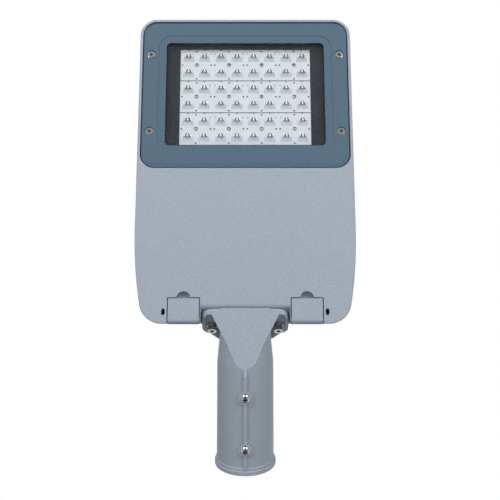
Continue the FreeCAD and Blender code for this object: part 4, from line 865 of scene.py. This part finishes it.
class STREETHEAD_OT_window(bpy.types.Operator):
    """Glass, gaskets, the painted shade in the gaps round the latches and the dark mask tray"""
    bl_idname = "streethead.window"
    bl_label = "Window"

    def execute(self, context):
        coat = context.scene.street_coat
        paint(["window_glass"], tempered_glass())
        rubber = silicone_rubber_and_painted_shade()
        paint(["frame_gasket", "lid_gasket", "spigot_gasket"], rubber)
        # The latch gaps are dark only from shadow, so these black strips are painted shade
        give(model_latch_gap_shades(), rubber, "gasket_rubber")
        paint(["mask_plate"], moulded_plastic(
            "black_polycarbonate", coat.mask_dark, coat.mask_light, 0.7, gloss=0.15))
        return {"FINISHED"}


class STREETHEAD_OT_gear(bpy.types.Operator):
    """The pieces in the driver bay"""
    bl_idname = "streethead.gear"
    bl_label = "Driver bay"

    def execute(self, context):
        paint(["gear_tray"], zinc_sheet())
        paint(["led_driver"], moulded_plastic("lacquered_case", "#C3C6C7", "#D2D5D6", 0.35))
        paint(["terminal_block"], moulded_plastic("cream_polyamide", "#D8D5C6", "#E3E0D2", 0.45))
        paint(["surge_protector"], moulded_plastic("black_abs", "#1C1D1F", "#292A2C", 0.4))
        paint(["cable_gland"], moulded_plastic("black_polyamide", "#1A1B1C", "#262728", 0.45))
        smooth(["cable_gland", "led_driver"], 30)
        return {"FINISHED"}


class STREETHEAD_OT_modules(bpy.types.Operator):
    """The boards, diodes and lens blocks of the light modules, with their small trim"""
    bl_idname = "streethead.modules"
    bl_label = "Light modules"

    def execute(self, context):
        lens = context.scene.street_lens
        array = LensArray(lens)
        phosphor = phosphor_gel()
        paint(named("led_board"), solder_lacquer())
        paint(named("led_chips"), phosphor)
        paint(named("lens_block"), acrylic_lens(array.face_z))
        smooth(named("lens_block"), 40)
        for name in named("lens_block"):
            # Clear acrylic throws almost no shadow
            NODES[name].visible_shadow = False
        self.make_lens_images(lens, array, phosphor)
        self.make_pins(lens, array)
        self.make_screws(lens, array)
        give(model_row_strips(array), bpy.data.materials["silicone_rubber_and_painted_shade"], "gasket_rubber")
        contacts = spread(
            model_contact(), array.seam_corners(CONTACT_INSET_X, CONTACT_INSET_Y),
            "board_contacts")
        give(contacts, copper_pad(), "zinc_steel")
        deselect_all()
        return {"FINISHED"}

    def make_lens_images(self, lens, array, phosphor):
        """What a lens shows of its hollow and of the diode behind it."""
        # Painted reflection: the dark arches that the clear lenses show of their hollows
        arches = spread(model_arch_reflection(array), array.cells(), "lens_arch_reflections")
        give(arches, lens_shade(), "lens_plastic")
        diode = model_drop(lens.diode_radius, DIODE_FLATNESS)
        sunk = lens.dome_height - lens.diode_radius / 2
        diode.data.transform(Matrix.Translation((0, lens.dome_shift - DIODE_SHIFT, -sunk)))
        give(spread(diode, array.cells(), "diode_images"), phosphor, "diode_phosphor")

    def make_pins(self, lens, array):
        """The moulding pins of each block, and the notches in its front edge."""
        dark = pin_plastic_and_bore_shade()
        for name, places in (
            ("lens_pins", array.edge_middles(lens.pin_inset)),
            ("block_notches", array.front_notches()),
        ):
            button = model_button(lens.pin_radius, PIN_FLATNESS)
            give(spread(button, places, name), dark, "mask_plastic")

    def make_screws(self, lens, array):
        """The domed head of each block's screw, and a dark half ring of painted shade over the front of its bore."""
        cap = model_button(lens.screw_radius, CAP_FLATNESS)
        cap.data.transform(Matrix.Translation((0, -CAP_SHIFT, 0)))
        caps = spread(cap, array.screw_tops(), "module_screw_caps")
        give(caps, bpy.data.materials["polished_stainless"], "zinc_steel")
        # Painted shade: a dark half ring over the front of the bore
        rim = model_half_ring(lens.bore_shade_radius, lens.screw_radius / 2, 1, BORE_SHADE_FLATNESS)
        bore_shades = spread(rim, array.screw_tops(), "screw_bore_shades")
        give(bore_shades, bpy.data.materials["pin_plastic_and_bore_shade"], "mask_plastic")


class STREETHEAD_OT_stage(bpy.types.Operator):
    """Camera, floor, black cloths, lamps and a white world"""
    bl_idname = "streethead.stage"
    bl_label = "Studio stage"

    def execute(self, context):
        stage = context.scene.street_stage
        self.make_camera(context, stage)
        self.make_floor(stage)
        self.make_dark_walls()
        self.make_lamps()
        self.make_world(context)
        return {"FINISHED"}

    def make_camera(self, context, stage):
        """The camera of the photograph, below the light face."""
        data = bpy.data.cameras.new("photo_camera")
        data.lens = stage.lens_length
        data.sensor_width = 36.0
        data.shift_x = 0.5 - stage.object_centre_px / PHOTO_WIDTH_PX
        data.clip_end = 20
        camera = bpy.data.objects.new("photo_camera", data)
        context.collection.objects.link(camera)
        camera.location = stage_place(0, stage.camera_place_y, stage.camera_place_z)
        aim = stage_place(0, stage.aim_y, stage.aim_z) - camera.location
        # The head's front is up in the picture, so the camera is turned round its own axis
        right = aim.cross(Vector((0, 1, 0))).normalized()
        up = right.cross(aim).normalized()
        camera.rotation_euler = Matrix((right, up, -aim.normalized())).transposed().to_euler()
        context.scene.camera = camera

    def make_floor(self, stage):
        """Paper far under the object, so that its shadow is soft."""
        deselect_all()
        low, high = CAD_BOUNDS
        middle = [(a + b) / 2 for a, b in zip(low, high)]
        bpy.ops.mesh.primitive_plane_add(
            size=30, location=(middle[0], middle[1], middle[2] - stage.floor_depth))
        floor = bpy.context.active_object
        floor.name = "floor"
        floor.data.materials.append(backdrop_white())
        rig.stage(floor)

    def make_dark_walls(self):
        """Black cloth in front and behind, which the domes and the screw heads mirror."""
        felt = black_felt()
        for name, y in (("dark_wall_front", CLOTH_DISTANCE), ("dark_wall_rear", -CLOTH_DISTANCE)):
            deselect_all()
            bpy.ops.mesh.primitive_plane_add(
                size=CLOTH_SIZE, location=stage_place(0, y, CLOTH_HEIGHT),
                rotation=(math.radians(90), 0, 0))
            wall = bpy.context.active_object
            wall.name = name
            wall.data.materials.append(felt)
            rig.stage(wall)

    def make_lamps(self):
        """Square lamps round the object, each turned to its middle: place, size and power."""
        for name, place, size, power in (
            ("lamp_below_left", (1.1, 1.35, -2.1), 1.4, 46),
            ("lamp_below_right", (-1.1, 1.35, -2.1), 1.4, 46),
            ("lamp_below_back", (0, -1.3, -1.9), 1.2, 9),
            ("lamp_above", (0, 0.33, 2.3), 2.0, 34),
            ("lamp_above_front", (0.8, 1.8, 1.8), 1.8, 8),
            ("lamp_above_back", (-1.2, -1.2, 1.6), 1.6, 16),
        ):
            data = bpy.data.lights.new(name, "AREA")
            data.shape = "SQUARE"
            data.size = size
            data.energy = power
            lamp = bpy.data.objects.new(name, data)
            bpy.context.collection.objects.link(lamp)
            lamp.location = place
            aim = LAMP_TARGET - lamp.location
            lamp.rotation_euler = aim.to_track_quat("-Z", "Y").to_euler()

    def make_world(self, context):
        """A dim even room for the light, which looks white to the eye, to metal and to glass."""
        world = bpy.data.worlds.new("studio")
        context.scene.world = world
        world.use_nodes = True
        tree = world.node_tree
        tree.nodes.clear()
        output = add_node(tree, "ShaderNodeOutputWorld")
        soft = add_node(
            tree, "ShaderNodeBackground", in_Strength=0.17, in_Color=linear("#F4F6F8"))
        white = add_node(
            tree, "ShaderNodeBackground", in_Strength=1.0, in_Color=linear("#FFFFFF"))
        mix_by_ray(
            tree, output, ("Is Camera Ray", "Is Transmission Ray", "Is Glossy Ray"), soft, white)
        context.scene.view_settings.view_transform = "Standard"


OPERATORS = (
    STREETHEAD_OT_castings, STREETHEAD_OT_fasteners, STREETHEAD_OT_window, STREETHEAD_OT_gear,
    STREETHEAD_OT_modules, STREETHEAD_OT_stage,
)


class STREETHEAD_PT_sidebar(bpy.types.Panel):
    """The steps that dress the street light head, in order"""
    bl_idname = "STREETHEAD_PT_sidebar"
    bl_label = "Street Light Head"
    bl_space_type = "VIEW_3D"
    bl_region_type = "UI"
    bl_category = "Street Light"

    def draw(self, context):
        for group in (
            context.scene.street_coat, context.scene.street_lens, context.scene.street_stage,
        ):
            for name in group.bl_rna.properties.keys():
                if name not in ("rna_type", "name"):
                    self.layout.prop(group, name)
        for operator in OPERATORS:
            self.layout.operator(operator.bl_idname)


CLASSES = (CoatSettings, LensSettings, StageSettings) + OPERATORS + (STREETHEAD_PT_sidebar,)


def register():
    for kind in CLASSES:
        bpy.utils.register_class(kind)
    bpy.types.Scene.street_coat = PointerProperty(type=CoatSettings)
    bpy.types.Scene.street_lens = PointerProperty(type=LensSettings)
    bpy.types.Scene.street_stage = PointerProperty(type=StageSettings)


def unregister():
    del bpy.types.Scene.street_stage
    del bpy.types.Scene.street_lens
    del bpy.types.Scene.street_coat
    for kind in reversed(CLASSES):
        bpy.utils.unregister_class(kind)


def plain_numbers(bounds):
    """Two corners as lists that json can write."""
    return [[float(number) for number in corner] for corner in bounds]


def main():
    register()
    bpy.ops.streethead.castings()
    bpy.ops.streethead.fasteners()
    bpy.ops.streethead.window()
    bpy.ops.streethead.gear()
    bpy.ops.streethead.modules()
    bpy.ops.streethead.stage()
    with open("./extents.json", "w") as file:
        sizes = {"cad": plain_numbers(CAD_BOUNDS), "visual": plain_numbers(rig.bounds())}
        json.dump(sizes, file)


if __name__ == "__main__":
    main()
